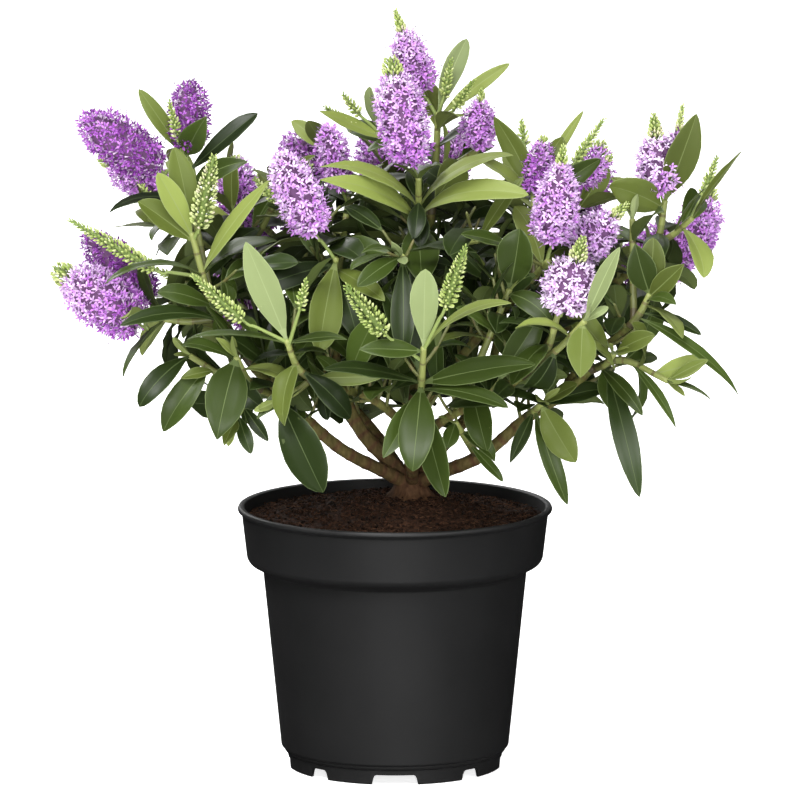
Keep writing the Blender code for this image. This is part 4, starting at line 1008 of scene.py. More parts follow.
def soil_profile():
    """The root ball, filling the pot, with a mounded top round the stems."""
    collar_foot = POT_HEIGHT - COLLAR_DEPTH
    inner = BODY_FOOT_RADIUS - WALL - GAP
    return (
        (0, FLOOR_HEIGHT + WALL + GAP),
        (inner - 1.9, FLOOR_HEIGHT + WALL + GAP),
        (inner - 0.2, FLOOR_HEIGHT + WALL + 1.8),
        (WAIST_RADIUS - WALL - GAP - 0.1, collar_foot - 7.2),
        (WAIST_RADIUS - 0.3, collar_foot - 2.4),
        (COLLAR_RADIUS - 3.8 - WALL, collar_foot + 1.6),
        (COLLAR_RADIUS - WALL - GAP - 1.3, SOIL_AT_WALL - 1.5),
        (COLLAR_RADIUS - 8.0, SOIL_AT_WALL + 1.2),
        (60, SOIL_AT_WALL + 5),
        (40, SOIL_TOP - 3),
        (28, SOIL_TOP),
        (0, SOIL_TOP),
    )


def stem_base_solids():
    """The flared foot from its flat cut on the soil, and a short fork towards each bough."""
    centre = Vector((*BASE_CENTRE, SOIL_TOP + GAP))
    points, faces = [], []
    for height, size in BASE_RINGS:
        for k in range(BASE_SIDES):
            angle = 2 * math.pi * k / BASE_SIDES
            lobes = 1 + LOBE_DEPTH * (1 - height) * math.cos(BASE_LOBES * angle + LOBE_TURN)
            radius = FLARE_RADIUS * size * lobes
            lean = Vector((-BASE_LEAN * height, 0, BASE_HEIGHT * height))
            points.append(centre + lean + Vector((radius * math.cos(angle), radius * math.sin(angle), 0)))
    for row in range(len(BASE_RINGS) - 1):
        for k in range(BASE_SIDES):
            a, b = row * BASE_SIDES + k, row * BASE_SIDES + (k + 1) % BASE_SIDES
            faces.append((a, b, b + BASE_SIDES, a + BASE_SIDES))
    faces.append(tuple(reversed(range(BASE_SIDES))))
    faces.append(tuple(range(len(points) - BASE_SIDES, len(points))))
    solids = [(points, faces)]
    fork = centre + Vector((0, 0, FORK_HEIGHT))
    for limb in LIMBS:
        if limb.parent == "stem_base":
            way = unit(Vector(limb.points[0]) - fork)
            path = [fork - way * 2, fork + way * FORK_REACH]
            solids.append(tube(path, [limb.radius + FORK_SWELL, limb.radius], LIMB_SIDES))
    return solids


# Camera, at the photograph's angle, far off through a long lens
AIM = Vector((0.003, 0.0, 0.223))
CAMERA_DISTANCE = 5.5
CAMERA_RISE = 9.5
CAMERA_LENS = 411.6

# Floor and backdrop, far enough out to stay behind every camera
STAGE_REACH = 20.0
STAGE_HEIGHT = 8.0
FLOOR_GLOW = 0.78
WALL_GLOW = 0.72

# Fine leaves: rows along the blade, and its half width there in a pointed and in a blunt leaf
LEAF_ROWS = np.array([0, 0.05, 0.12, 0.22, 0.34, 0.46, 0.58, 0.7, 0.81, 0.9, 0.965, 1.0])
POINTED_LEAF = np.array([0.12, 0.14, 0.32, 0.66, 0.9, 1.0, 0.98, 0.84, 0.6, 0.34, 0.14, 0.03])
BLUNT_LEAF = np.array([0.12, 0.12, 0.22, 0.44, 0.7, 0.89, 1.0, 0.99, 0.86, 0.64, 0.36, 0.03])
TIP_FROM = 0.6
LEAF_THICK = 0.45
THICK_FROM = 6.5
LEAF_EDGE = 0.42
RIB_HALF = 0.4
KEEL_DROP = 0.75
KEEL = 1.5
QUILT = 0.3
QUILT_WAVES = 3.1
QUILT_SLANT = 2.4
QUILT_FROM = 8.0
LEAF_DRAWS = 8
SPIKE_KEEP = 0.8
END_LEAVES = (13.0, 20.0)
END_CLEAR = 6.0
EDGE_ROLL = 0.22

# Leaf tones, youngest first: top, underside and midrib colours. The darker tones, o and d most, are partly the deeper
# green of older leaves and partly painted shade, for leaves low and deep in the crown
LEAF_AGES_AND_SHADE = {
    "y": ((0.175, 0.218, 0.088), (0.2, 0.24, 0.1), (0.215, 0.26, 0.115)),
    "f": ((0.16, 0.198, 0.045), (0.15, 0.185, 0.05), (0.195, 0.235, 0.08)),
    "g": ((0.075, 0.098, 0.0175), (0.098, 0.122, 0.031), (0.13, 0.162, 0.05)),
    "m": ((0.031, 0.05, 0.0075), (0.062, 0.084, 0.021), (0.082, 0.112, 0.036)),
    "o": ((0.015, 0.0265, 0.0045), (0.04, 0.057, 0.0145), (0.055, 0.078, 0.026)),
    "d": ((0.008, 0.0145, 0.003), (0.025, 0.037, 0.0105), (0.036, 0.053, 0.019)),
}
AGE_GLOSS = {"y": 0.5, "f": 0.48, "g": 0.45, "m": 0.4, "o": 0.4, "d": 0.4}
LEAF_SHINE = {"y": 0.2, "f": 0.2, "g": 0.2, "m": 0.2, "o": 0.21, "d": 0.23}
SHADES = (0.82, 1.0, 1.2)

# Petals, from the deepest to the palest
PETALS = (
    (0.12, 0.02, 0.17),
    (0.21, 0.045, 0.29),
    (0.34, 0.105, 0.44),
    (0.45, 0.19, 0.56),
    (0.55, 0.31, 0.64),
    (0.64, 0.45, 0.72),
    (0.75, 0.62, 0.8),
)
THROAT = (0.66, 0.5, 0.7)
FILAMENT = (0.56, 0.36, 0.66)
ANTHER = (0.06, 0.025, 0.08)
FLORET_SPACE = 3.75
PETAL_LENGTH = 4.5
PETAL_HALF = 0.84
PETAL_LIFT = (0.3, 1.3)
# The core of a spike in flower: its dark violet is painted shade, filling the gaps between the florets
CORE_DEPTH = 4.0
PAINTED_SHADE_CORE = (0.125, 0.06, 0.135)

# Buds, from green to white
BUDS = ((0.15, 0.23, 0.04), (0.23, 0.31, 0.07), (0.33, 0.4, 0.12), (0.45, 0.5, 0.22), (0.56, 0.52, 0.36))
CALYX = (0.14, 0.2, 0.045)
STALK_GREEN = (0.2, 0.26, 0.07)
BUD_SPACE = 2.7

# Finer growth: a twig about so often along a limb, and the dome that it keeps to
FINER_EVERY = 5.5
FINER_CLEAR = 0.5
FINER_TWIG = (10.0, 34.0)
FINER_LEAVES = (26.0, 52.0)
FINER_PAIRS = 2
FINER_TRIES = 4
FINER_DROOP = 10.0
DOME_CENTRE = Vector((4, 16, 262))
DOME_REACH = (168, 130, 102)
DOME_FLOOR = 208
DOME_TILT = 0.167

# Stems: young, older, and the thin ring at each node
STEM_TONES = ((0.22, 0.25, 0.07), (0.165, 0.19, 0.05), (0.1, 0.11, 0.03), (0.062, 0.05, 0.02))
STEM_RING = (0.125, 0.115, 0.036)


class Heap:
    """Points and faces of many small things, joined into one mesh. A face's fourth corner may be -1."""

    def __init__(self):
        self.points, self.faces, self.tones, self.count = [], [], [], 0

    def add(self, points, faces, tones):
        self.points.append(points)
        self.faces.append(np.where(faces < 0, -1, faces + self.count))
        self.tones.append(np.broadcast_to(tones, len(faces)))
        self.count += len(points)

    def build(self, name, finishes, slot):
        points = np.concatenate(self.points) * METRES
        faces = np.concatenate(self.faces)
        used = faces >= 0
        starts = np.concatenate(([0], np.cumsum(used.sum(axis=1))[:-1]))
        mesh = bpy.data.meshes.new(name)
        mesh.vertices.add(len(points))
        mesh.vertices.foreach_set("co", points.astype(np.float32).ravel())
        mesh.loops.add(int(used.sum()))
        mesh.loops.foreach_set("vertex_index", faces[used].astype(np.int32))
        mesh.polygons.add(len(faces))
        mesh.polygons.foreach_set("loop_start", starts.astype(np.int32))
        mesh.polygons.foreach_set("material_index", np.concatenate(self.tones).astype(np.int32))
        for finish in finishes:
            mesh.materials.append(finish)
        mesh.update(calc_edges=True)
        mesh.shade_smooth()
        made = bpy.data.objects.new(name, mesh)
        bpy.context.scene.collection.objects.link(made)
        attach(made, "root")
        return made


def grid_faces(rows, columns, wraps=False):
    """Four-sided faces over rows of points, which may wrap round."""
    i, j = np.meshgrid(np.arange(rows - 1), np.arange(columns if wraps else columns - 1), indexing="ij")
    a = (i * columns + j).ravel()
    b = (i * columns + (j + 1) % columns).ravel()
    return np.stack([a, b, b + columns, a + columns], axis=1)


def finish(name, colour, roughness=0.5, **more):
    made = bpy.data.materials.new(name)
    made.use_nodes = True
    shader = made.node_tree.nodes["Principled BSDF"]
    shader.inputs["Base Color"].default_value = (*colour, 1)
    shader.inputs["Roughness"].default_value = roughness
    for socket, value in more.items():
        shader.inputs[socket.replace("_", " ")].default_value = value
    return made


def shaded(colour, shade):
    return tuple(min(c * shade, 0.9) for c in colour)


# Leaves

def fine_leaf(leaf, rng, loose=0):
    """A blade with a pale margin and midrib above, and a keeled, paler underside."""
    rows = LEAF_ROWS
    blunt = rng.random()
    half = (BLUNT_LEAF * blunt + POINTED_LEAF * (1 - blunt)) * leaf.width / 2
    hook = rng.uniform(-0.1, 0.55)
    arch = max(leaf.arch + rng.uniform(-5, 5) * loose, 1)
    turn = math.radians(arch) * rows + hook * np.clip((rows - TIP_FROM) / (1 - TIP_FROM), 0, 1) ** 2
    between = (turn[1:] + turn[:-1]) / 2
    run = np.concatenate([[0], np.cumsum(np.cos(between) * np.diff(rows))])[:, None]
    fall = np.concatenate([[0], np.cumsum(np.sin(between) * np.diff(rows))])[:, None]
    turn = turn[:, None]
    along, up = np.array(leaf.along), np.array(leaf.up)
    side = np.cross(along, up)
    sway = rng.uniform(-0.06, 0.06) * (1 + 0.3 * loose) * rows[:, None] ** 2
    centre = np.array(leaf.base) + leaf.length * (along * run - up * fall + side * sway)
    normal = up * np.cos(turn) + along * np.sin(turn)
    twist = (rng.uniform(-0.45, 0.45) * (1 + 0.2 * loose) * rows)[:, None]
    cross = side * np.cos(twist) + normal * np.sin(twist)
    normal = normal * np.cos(twist) - side * np.sin(twist)
    rib = np.minimum(RIB_HALF * (1 - 0.75 * rows), 0.35 * half)
    edge = np.minimum(LEAF_EDGE, 0.3 * half)
    inner = half - edge
    middle = (rib + inner) / 2
    top = np.stack([-half, -inner, -middle, -rib, rib, middle, inner, half], axis=1)
    low = np.stack([-half, -middle, -KEEL * rib, KEEL * rib, middle, half], axis=1)
    fold = rng.uniform(0.05, 0.26)
    cup = rng.uniform(-0.06, 0.14)
    waves = rng.uniform(0.8, 2.0)
    start = rng.uniform(0, 6.3)
    wave = rng.uniform(0.02, 0.1)

    def lift(x):
        share = x / half[:, None]
        ripple = np.sin(2 * math.pi * waves * rows[:, None] + start + np.sign(x)) * wave
        veins = np.sin(2 * math.pi * QUILT_WAVES * rows[:, None] - QUILT_SLANT * np.abs(share) + start)
        quilt = QUILT * np.minimum(half / QUILT_FROM, 1)[:, None] * veins * np.clip(2.5 * np.abs(share), 0, 1)
        return half[:, None] * (fold * np.abs(share) + (cup + ripple) * share**2) + quilt

    top_lift = lift(top)
    top_lift[:, [0, -1]] -= EDGE_ROLL
    low_lift = lift(low) - LEAF_THICK * np.maximum(half / THICK_FROM, 1)[:, None]
    low_lift[:, [0, -1]] = top_lift[:, [0, -1]] - 0.1
    low_lift[:, [2, 3]] -= KEEL_DROP * (1 - 0.8 * rows)[:, None]
    points = [
        centre[:, None] + cross[:, None] * x[:, :, None] + normal[:, None] * z[:, :, None]
        for x, z in ((top, top_lift), (low, low_lift))
    ]
    return points[0].reshape(-1, 3), points[1].reshape(-1, 3)


TOP_FACES = grid_faces(len(LEAF_ROWS), 8)
LOW_FACES = grid_faces(len(LEAF_ROWS), 6)[:, ::-1]
PALE_ROWS = 2
TOP_PARTS = np.concatenate([np.full(7 * PALE_ROWS, 2), np.tile([2, 0, 0, 2, 0, 0, 2], len(LEAF_ROWS) - 1 - PALE_ROWS)])
LOW_PARTS = np.tile([1, 1, 2, 1, 1], len(LEAF_ROWS) - 1)


def leaf_finishes():
    made = []
    for age, (top, low, rib) in LEAF_AGES_AND_SHADE.items():
        gloss = AGE_GLOSS[age]
        for index, shade in enumerate(SHADES):
            shine = LEAF_SHINE[age]
            made.append(finish(f"leaf_top_{age}{index}", shaded(top, shade), gloss, Specular_IOR_Level=shine))
        made.append(finish(f"leaf_under_{age}", low, 0.65, Specular_IOR_Level=0.2))
        made.append(finish(f"leaf_rib_{age}", rib, 0.55, Specular_IOR_Level=0.2))
    return made


AGE_STEP = len(SHADES) + 2


BLADE_FACES = TOP_FACES.tolist()
FOOT_FACES = 21


class Crowd:
    """The blades in place and the flower spikes, which a new blade is drawn to miss."""

    def __init__(self, spikes):
        self.spikes = [(np.array(s.foot), np.array(s.tip), s.radius) for s in spikes]
        self.lows, self.highs, self.trees = [], [], []

    def crossed(self, top, tree):
        """How many faces of other blades, and points inside spikes, the blade runs through."""
        if not self.trees:
            return 0
        low, high = top.min(axis=0), top.max(axis=0)
        near = ((np.array(self.lows) <= high) & (np.array(self.highs) >= low)).all(axis=1)
        found = 0
        for index in np.nonzero(near)[0]:
            pairs = tree.overlap(self.trees[index])
            found += sum(a >= FOOT_FACES and b >= FOOT_FACES for a, b in pairs)
        for foot, tip, radius in self.spikes:
            way = tip - foot
            share = (top - foot) @ way / (way @ way)
            gap = np.linalg.norm(top - foot - share[:, None] * way, axis=1)
            found += int(((share > 0) & (share < 1) & (gap < radius * SPIKE_KEEP)).sum())
        return found

    def draw(self, leaf, rng):
        """The leaf's blade in the first of a few draws that crosses nothing, or the one that crosses least."""
        best = None
        for attempt in range(LEAF_DRAWS):
            top, low = fine_leaf(leaf, rng, attempt)
            tree = BVHTree.FromPolygons(top.tolist(), BLADE_FACES)
            crossed = self.crossed(top, tree)
            if best is None or crossed < best[0]:
                best = (crossed, top, low, tree)
            if not crossed:
                break
        crossed, top, low, tree = best
        self.lows.append(top.min(axis=0))
        self.highs.append(top.max(axis=0))
        self.trees.append(tree)
        return top, low


def add_leaf(heap, crowd, leaf, age, rng):
    """The leaf in its age's colours, in one of three shades."""
    top, low = crowd.draw(leaf, rng)
    first = list(LEAF_AGES_AND_SHADE).index(age) * AGE_STEP
    tones = np.array([first + rng.randrange(len(SHADES)), first + len(SHADES), first + len(SHADES) + 1])
    heap.add(top, TOP_FACES, tones[TOP_PARTS])
    heap.add(low, LOW_FACES, tones[LOW_PARTS])


def add_end_bud(heap, path, rng):
    """Two small young leaves folded together on a shoot's tip."""
    tip, way = point_at(path, 1)
    side = Matrix.Rotation(rng.uniform(0, math.pi), 3, way) @ across(way)
    first = list(LEAF_AGES_AND_SHADE).index(rng.choice("yff")) * AGE_STEP
    tones = np.array([first + 1, first + len(SHADES), first + len(SHADES) + 1])
    for out in (side, -side):
        along = unit(way + out * rng.uniform(0.15, 0.35))
        up = unit(along * out.dot(along) - out)
        length = rng.uniform(*END_LEAVES)
        top, low = fine_leaf(Leaf(tip - way, along, up, length, length * 0.32, rng.uniform(5, 25)), rng)
        heap.add(top, TOP_FACES, tones[TOP_PARTS])
        heap.add(low, LOW_FACES, tones[LOW_PARTS])


# The tone of each leaf that the front view fixes, in the order of its mass's rows: its age's colour, darker for leaves
# that lie in shade, so partly painted shade
SET_AGES_AND_SHADE = {
    "foliage_front": "yfmommmmm",
    "foliage_front_left": "ymmgmo",
    "foliage_upper_left": "gdg",
    "foliage_top": "ffffmmmgomm",
    "foliage_top_back": "yff",
    "foliage_left": "gfgfmommdmgd",
    "foliage_left_low": "moogomg",
    "foliage_centre": "mmom",
    "foliage_centre_right": "gy",
    "foliage_right_low": "ommgmm",
    "foliage_right_inner": "gmo",
    "foliage_right_foot": "mm",
    "foliage_right": "mggmmo",
    "foliage_far_right": "gggm",
    "foliage_upper_right": "ggfm",
}

# Petal tones at the foot and at the tip of each spike in flower, by its row
SPIKE_TONES = {
    "foliage_upper_left": {0: (4, 5, 1.0), 1: (3, 4, 1.0)},
    "foliage_top": {0: (3, 5, 0.84)},
    "foliage_top_back": {0: (3, 5, 0.74), 1: (3, 4, 0.8)},
    "foliage_left": {1: (1, 1, 1.0), 2: (1, 2, 1.0), 5: (2, 5, 0.84), 6: (0, 1, 1.0)},
    "foliage_centre_right": {0: (6, 6, 0.68)},
    "foliage_far_right": {0: (4, 6, 0.7), 1: (3, 5, 0.5)},
    "foliage_upper_right": {0: (4, 5, 0.8), 1: (2, 3, 0.9), 2: (4, 5, 0.7), 4: (3, 4, 0.8)},
}

# Bud tones of the racemes that aren't plain green
RACEME_TONES = {"foliage_left": {0: (2, 3, 3, 4)}}


def age_and_shade_of(mass, kind, rng):
    """A leaf's tone from its place: the top pairs of a shoot are its youngest, and the lowest pairs take the darkest
    tones, which are partly painted shade.
    """
    if isinstance(kind, int):
        ages = SET_AGES_AND_SHADE.get(mass.name)
        return ages[kind] if ages else rng.choice("fgm")
    shoot, pair, low = kind
    if pair == 0:
        return rng.choice("yffg")
    if pair == 1:
        return rng.choice("fgmm")
    return rng.choice("gmmo") if low < 0.7 else rng.choice("mood")


# Finer twigs and leaves, in the room that the plan leaves

class Finer:
    """Short leafy twigs along every limb and shoot, inside the crown's dome."""

    def __init__(self, growth):
        self.growth = growth
        self.trees = [tree for _, _, tree in growth.taken]
        self.lows = [np.min(points, axis=0) for points in growth.outlines]
        self.highs = [np.max(points, axis=0) for points in growth.outlines]
        self.twigs, self.leaves = [], []

    def free(self, solid, skip):
        """Whether the solid touches nothing but what it may skip."""
        points = np.array([tuple(p) for p in solid[0]])
        low, high = points.min(axis=0), points.max(axis=0)
        near = ((np.array(self.lows) <= high) & (np.array(self.highs) >= low)).all(axis=1)
        tree = tree_of(solid)
        return not any(i not in skip and tree.overlap(self.trees[i]) for i in np.nonzero(near)[0])

    def keep(self, solid):
        points = np.array([tuple(p) for p in solid[0]])
        self.trees.append(tree_of(solid))
        self.lows.append(points.min(axis=0))
        self.highs.append(points.max(axis=0))
        return len(self.trees) - 1

    def add_pair(self, path, share, turn, size, low, parents, rng):
        """Two leaves on opposite sides of a twig, each where it has room, and how many had it."""
        place = point_at(path, share)
        before = len(self.leaves)
        mates = set(parents)
        for half in (0, 180):
            for attempt in range(FINER_TRIES):
                drift = rng.uniform(-BEARING_DRIFT, BEARING_DRIFT) * (1 + 2 * attempt)
                leaf = leaf_of_pair(place, turn + half + drift, 2, low, size, FINER_DROOP, rng)
                solid = leaf_solid(leaf)
                if in_dome(solid[0]) and self.free(leaf_solid(leaf, FINER_CLEAR), mates):
                    mates.add(self.keep(solid))
                    self.leaves.append((leaf, low))
                    break
        return len(self.leaves) - before

    def add_twig(self, parent, path, share, rng):
        start, direction = point_at(path, share)
        bearing = Vector((rng.uniform(-1, 1), rng.uniform(-1, 1), rng.uniform(0.1, 1.3)))
        way = unit(bearing - direction * bearing.dot(direction) + direction * 0.5)
        tip = start + way * rng.uniform(*FINER_TWIG)
        twig = sagging(start, tip)
        solid = tube(twig, [1.1, 1.0, 0.9], TWIG_SIDES)
        if not in_dome(solid[0]) or not self.free(solid, {parent}):
            return
        mine = self.keep(solid)
        turn = rng.uniform(0, 180)
        grown = 0
        for pair in range(FINER_PAIRS):
            size = rng.uniform(*FINER_LEAVES)
            grown += self.add_pair(twig, 1 - 0.45 * pair, turn + 90 * pair, size, 0.35 * pair, {mine, parent}, rng)
        if grown:
            self.twigs.append(twig)

    def grow(self):
        rng = random.Random(41)
        paths = []
        for index, (owner, node, _) in enumerate(self.growth.taken):
            if owner in self.growth.limbs and node is None:
                paths.append((index, self.growth.limbs[owner][0], 0.3))
            elif owner in self.growth.shoots and node and len(node) == 1 and node[0] is not None:
                shoots = self.growth.shoots[owner]
                if self.growth.is_shoot[index]:
                    paths.append((index, shoots[node[0]][0], 0.1))
        for parent, path, first in paths:
            total = sum((b - a).length for a, b in zip(path, path[1:]))
            for step in range(int(total / FINER_EVERY) + 1):
                share = min(first + step * FINER_EVERY / total + rng.uniform(0, 0.1), 0.95)
                self.add_twig(parent, path, share, rng)
                turn = rng.uniform(0, 180)
                self.add_pair(path, share, turn, rng.uniform(*FINER_LEAVES), 0.6, {parent}, rng)


def in_dome(points):
    """Whether every point lies in the dome that the crown's leaves fill from every side."""
    for point in points:
        away = point - DOME_CENTRE
        reach = (away.x / DOME_REACH[0]) ** 2 + (away.y / DOME_REACH[1]) ** 2 + (away.z / DOME_REACH[2]) ** 2
        if reach > 1 or point.z + DOME_TILT * point.y < DOME_FLOOR:
            return False
    return True


# Stems

def smooth(path, spacing):
    """Points along a smooth curve through the path, about so far apart, and their shares."""
    total = sum((b - a).length for a, b in zip(path, path[1:]))
    count = max(int(total / spacing), 4)
    return np.array([tuple(p) for p in through(path, count)]), np.linspace(0, 1, count)


def frames_along(points):
    """A side and another direction square to the line at each point, turning as little as can be."""
    ways = np.gradient(points, axis=0)
    ways /= np.linalg.norm(ways, axis=1)[:, None]
    sides = []
    side = np.array(across(Vector(ways[0])))
    for way in ways:
        side = side - way * side.dot(way)
        side /= np.linalg.norm(side)
        sides.append(side)
    sides = np.array(sides)
    return ways, sides, np.cross(ways, sides)


def add_stem(heap, path, radii, nodes, tone, rng, sides=8, spacing=1.4):
    """A round stem with a ring at each node. Tones run from young at the tip to old."""
    points, shares = smooth(path, spacing)
    radius = np.interp(shares, np.linspace(0, 1, len(radii)), radii)
    length = spacing * len(points)
    rings = np.zeros(len(points), bool)
    for node in nodes:
        radius *= 1 + 0.05 * np.exp(-(((shares - node) * length / 1.6) ** 2))
        rings[int(round(node * (len(points) - 1)))] = True
    _, side, other = frames_along(points)
    angle = 2 * math.pi * np.arange(sides) / sides
    out = side[:, None] * np.cos(angle)[None, :, None] + other[:, None] * np.sin(angle)[None, :, None]
    ring = points[:, None] + out * radius[:, None, None]
    tones = np.repeat(np.where(rings[:-1], len(STEM_TONES), tone(shares[:-1])), sides)
    faces = grid_faces(len(points), sides, True)
    end = points[-1] + (points[-1] - points[-2]) * 0.4
    body = np.concatenate([ring.reshape(-1, 3), [end]])
    last = (len(points) - 1) * sides
    k = np.arange(sides)
    cap = np.stack([last + k, last + (k + 1) % sides, np.full(sides, len(body) - 1), np.full(sides, -1)], axis=1)
    heap.add(body, np.concatenate([faces, cap]), np.concatenate([tones, np.full(sides, tones[-1])]))


# Flowers

def prism(start, end, radii, sides):
    """An open three-or-more-sided prism between two points, which may taper to a point."""
    start, end = np.array(start, float), np.array(end, float)
    way = Vector(end - start).normalized()
    side = np.array(across(way))
    other = np.cross(np.array(way), side)
    angle = 2 * math.pi * np.arange(sides) / sides
    out = side * np.cos(angle)[:, None] + other * np.sin(angle)[:, None]
    points = np.concatenate([start + out * radii[0], end + out * radii[1]])
    return points, grid_faces(2, sides, True)


def lozenge(start, end, radius, sides=4, widest=0.5):
    """A closed spindle, pointed at both ends."""
    start, end = np.array(start, float), np.array(end, float)
    way = Vector(end - start).normalized()
    side = np.array(across(way))
    other = np.cross(np.array(way), side)
    angle = 2 * math.pi * np.arange(sides) / sides
    out = side * np.cos(angle)[:, None] + other * np.sin(angle)[:, None]
    points = np.concatenate([[start], start + (end - start) * widest + out * radius, [end]])
    k = np.arange(sides)
    after = 1 + (k + 1) % sides
    none = np.full(sides, -1)
    foot = np.stack([np.zeros(sides, int), after, 1 + k, none], axis=1)
    tip = np.stack([1 + k, after, np.full(sides, sides + 1), none], axis=1)
    return points, np.concatenate([foot, tip])


def template(pieces):
    """One array of points, faces and parts from several pieces."""
    heap = Heap()
    for (points, faces), part in pieces:
        heap.add(points, faces, part)
    return np.concatenate(heap.points), np.concatenate(heap.faces), np.concatenate(heap.tones)


PETAL_FOOT, PETAL, TUBE_PART, FILAMENT_PART, ANTHER_PART, CORE_PART = -2, -1, 0, 1, 2, 3
PETAL_FACES = np.array([(0, 2, 1, -1), (0, 3, 2, -1), (1, 2, 5, 4), (2, 3, 6, 5), (4, 5, 7, -1), (5, 6, 7, -1)])


def petal(turn, size, lift, curl):
    """A narrow pointed petal, folded along its middle, on a floret that faces +Z."""
    points = []
    for share, wide in ((0.0, 0), (0.36, 0.9), (0.7, 0.8), (1.0, 0)):
        reach = share * size * math.cos(lift)
        height = share * size * math.sin(lift) + curl * share**2
        for x, dip in ((-wide, 0), (0, -0.3 * wide), (wide, 0)) if wide else ((0, 0),):
            across_it = x * PETAL_HALF
            points.append(
                (
                    reach * math.cos(turn) - across_it * math.sin(turn),
                    reach * math.sin(turn) + across_it * math.cos(turn),
                    height + dip,
                )
            )
    return np.array(points), PETAL_FACES


def floret(rng, stamens):
    """A floret that faces +Z: a short tube, four pointed petals, long stamens."""
    pieces = [(prism((0, 0, -3.4), (0, 0, 0.2), (0.3, 0.75), 4), TUBE_PART)]
    for k in range(4):
        turn = math.pi / 2 * k + rng.uniform(-0.3, 0.3)
        size = PETAL_LENGTH * rng.uniform(0.8, 1.12)
        shape = petal(turn, size, rng.uniform(*PETAL_LIFT), rng.uniform(-1.6, 1.0))
        pieces.append((shape, np.array([PETAL_FOOT, PETAL_FOOT, PETAL, PETAL, PETAL, PETAL])))
    for k in range(stamens):
        turn = math.pi * k + rng.uniform(-0.6, 0.6)
        lean = rng.uniform(0.6, 2.6)
        end = np.array((lean * math.cos(turn), lean * math.sin(turn), rng.uniform(4.2, 5.8)))
        pieces.append((prism((0, 0, 0), end, (0.12, 0.1), 3), FILAMENT_PART))
        pieces.append((lozenge(end - (0, 0, 0.5), end + (0, 0, 0.8), 0.4), ANTHER_PART))
    return template(pieces)


def bud_shape():
    """A plump bud along +Z in a small green calyx, on a short stalk."""
    rings = ((0.0, 0.3), (0.8, 0.66), (1.9, 0.8), (2.8, 0.6), (3.3, 0.2))
    sides = 5
    points = []
    for height, radius in rings:
        for k in range(sides):
            angle = 2 * math.pi * k / sides
            points.append((radius * math.cos(angle), radius * math.sin(angle), height))
    points.append((0, 0, 3.4))
    faces = grid_faces(len(rings), sides, True)
    last = (len(rings) - 1) * sides
    k = np.arange(sides)
    cap = np.stack([last + k, last + (k + 1) % sides, np.full(sides, len(points) - 1), np.full(sides, -1)], axis=1)
    parts = np.concatenate([np.full(sides, CALYX_PART), np.full(len(faces) - sides + sides, PETAL)])
    shape = (np.array(points), np.concatenate([faces, cap]))
    stalk = prism((0, 0, -2.2), (0, 0, 0.1), (0.22, 0.28), 3)
    heap = Heap()
    heap.add(*shape, parts)
    heap.add(*stalk, CALYX_PART)
    return np.concatenate(heap.points), np.concatenate(heap.faces), np.concatenate(heap.tones)


CALYX_PART = 0


# Where the petals' own tones start among a floret's finishes
FREE_TONES = 4


def scatter(heap, shape, frames, places, tones):
    """Copies of a shape at places, turned by frames, with their own tone where it has a free part."""
    points, faces, parts = shape
    count = len(places)
    if not count:
        return
    moved = np.einsum("nij,pj->npi", frames, points) + places[:, None]
    steps = np.arange(count)[:, None, None] * len(points)
    all_faces = np.where(faces[None] < 0, -1, faces[None] + steps)
    all_tones = np.where(parts[None] < 0, tones[:, None], parts[None])
    feet = np.maximum(tones - 1, FREE_TONES)[:, None]
    all_tones = np.where(parts[None] == PETAL_FOOT, feet, all_tones)
    heap.add(moved.reshape(-1, 3), all_faces.reshape(-1, 4), all_tones.reshape(-1))


def facing(ways, spins, sizes):
    """Frames whose third axis points each way, turned about it and scaled."""
    ways = ways / np.linalg.norm(ways, axis=1)[:, None]
    helper = np.where(np.abs(ways[:, 2:]) < 0.9, [[0.0, 0.0, 1.0]], [[1.0, 0.0, 0.0]])
    x = np.cross(helper, ways)
    x /= np.linalg.norm(x, axis=1)[:, None]
    y = np.cross(ways, x)
    c, s = np.cos(spins)[:, None], np.sin(spins)[:, None]
    frames = np.stack([x * c + y * s, y * c - x * s, ways], axis=2)
    return frames * sizes[:, None, None]


def green_core(shares):
    return np.zeros(len(shares), int)


SPIKE_FORMS = {
    "blunt": ((0, 0.12, 0.35, 0.7, 0.9, 1.0), (0.5, 0.9, 1.0, 0.98, 0.78, 0.45)),
    "long": ((0, 0.1, 0.3, 0.6, 0.85, 1.0), (0.5, 0.92, 1.0, 0.86, 0.52, 0.25)),
    "bud": ((0, 0.08, 0.35, 0.7, 1.0), (0.7, 1.0, 1.05, 0.78, 0.34)),
}


def spiral(length, width_at, space, rng, loose=0.0):
    """Places round a spike, as shares of its length and turns, looser towards its foot if asked."""
    shares, turns = [], []
    share, turn = 0.0, rng.uniform(0, 6.3)
    while share < 1:
        shares.append(share)
        turns.append(turn + rng.uniform(-0.25, 0.25))
        turn += 2.39996
        gap = space * (1 + loose * (1 - share))
        share += gap**2 / (2 * math.pi * max(width_at(share), 1.2) * length)
    return np.array(shares), np.array(turns)


def add_painted_shade_core(florets, path, widths):
    """The heart round a spike's stalk, where tubes and calyces crowd, in a dark violet that is painted shade between
    the florets.
    """
    points, faces = tube(path, widths, 8)
    quads = np.array([face for face in faces if len(face) == 4])
    florets.add(np.array([tuple(p) for p in points]), quads, CORE_PART)


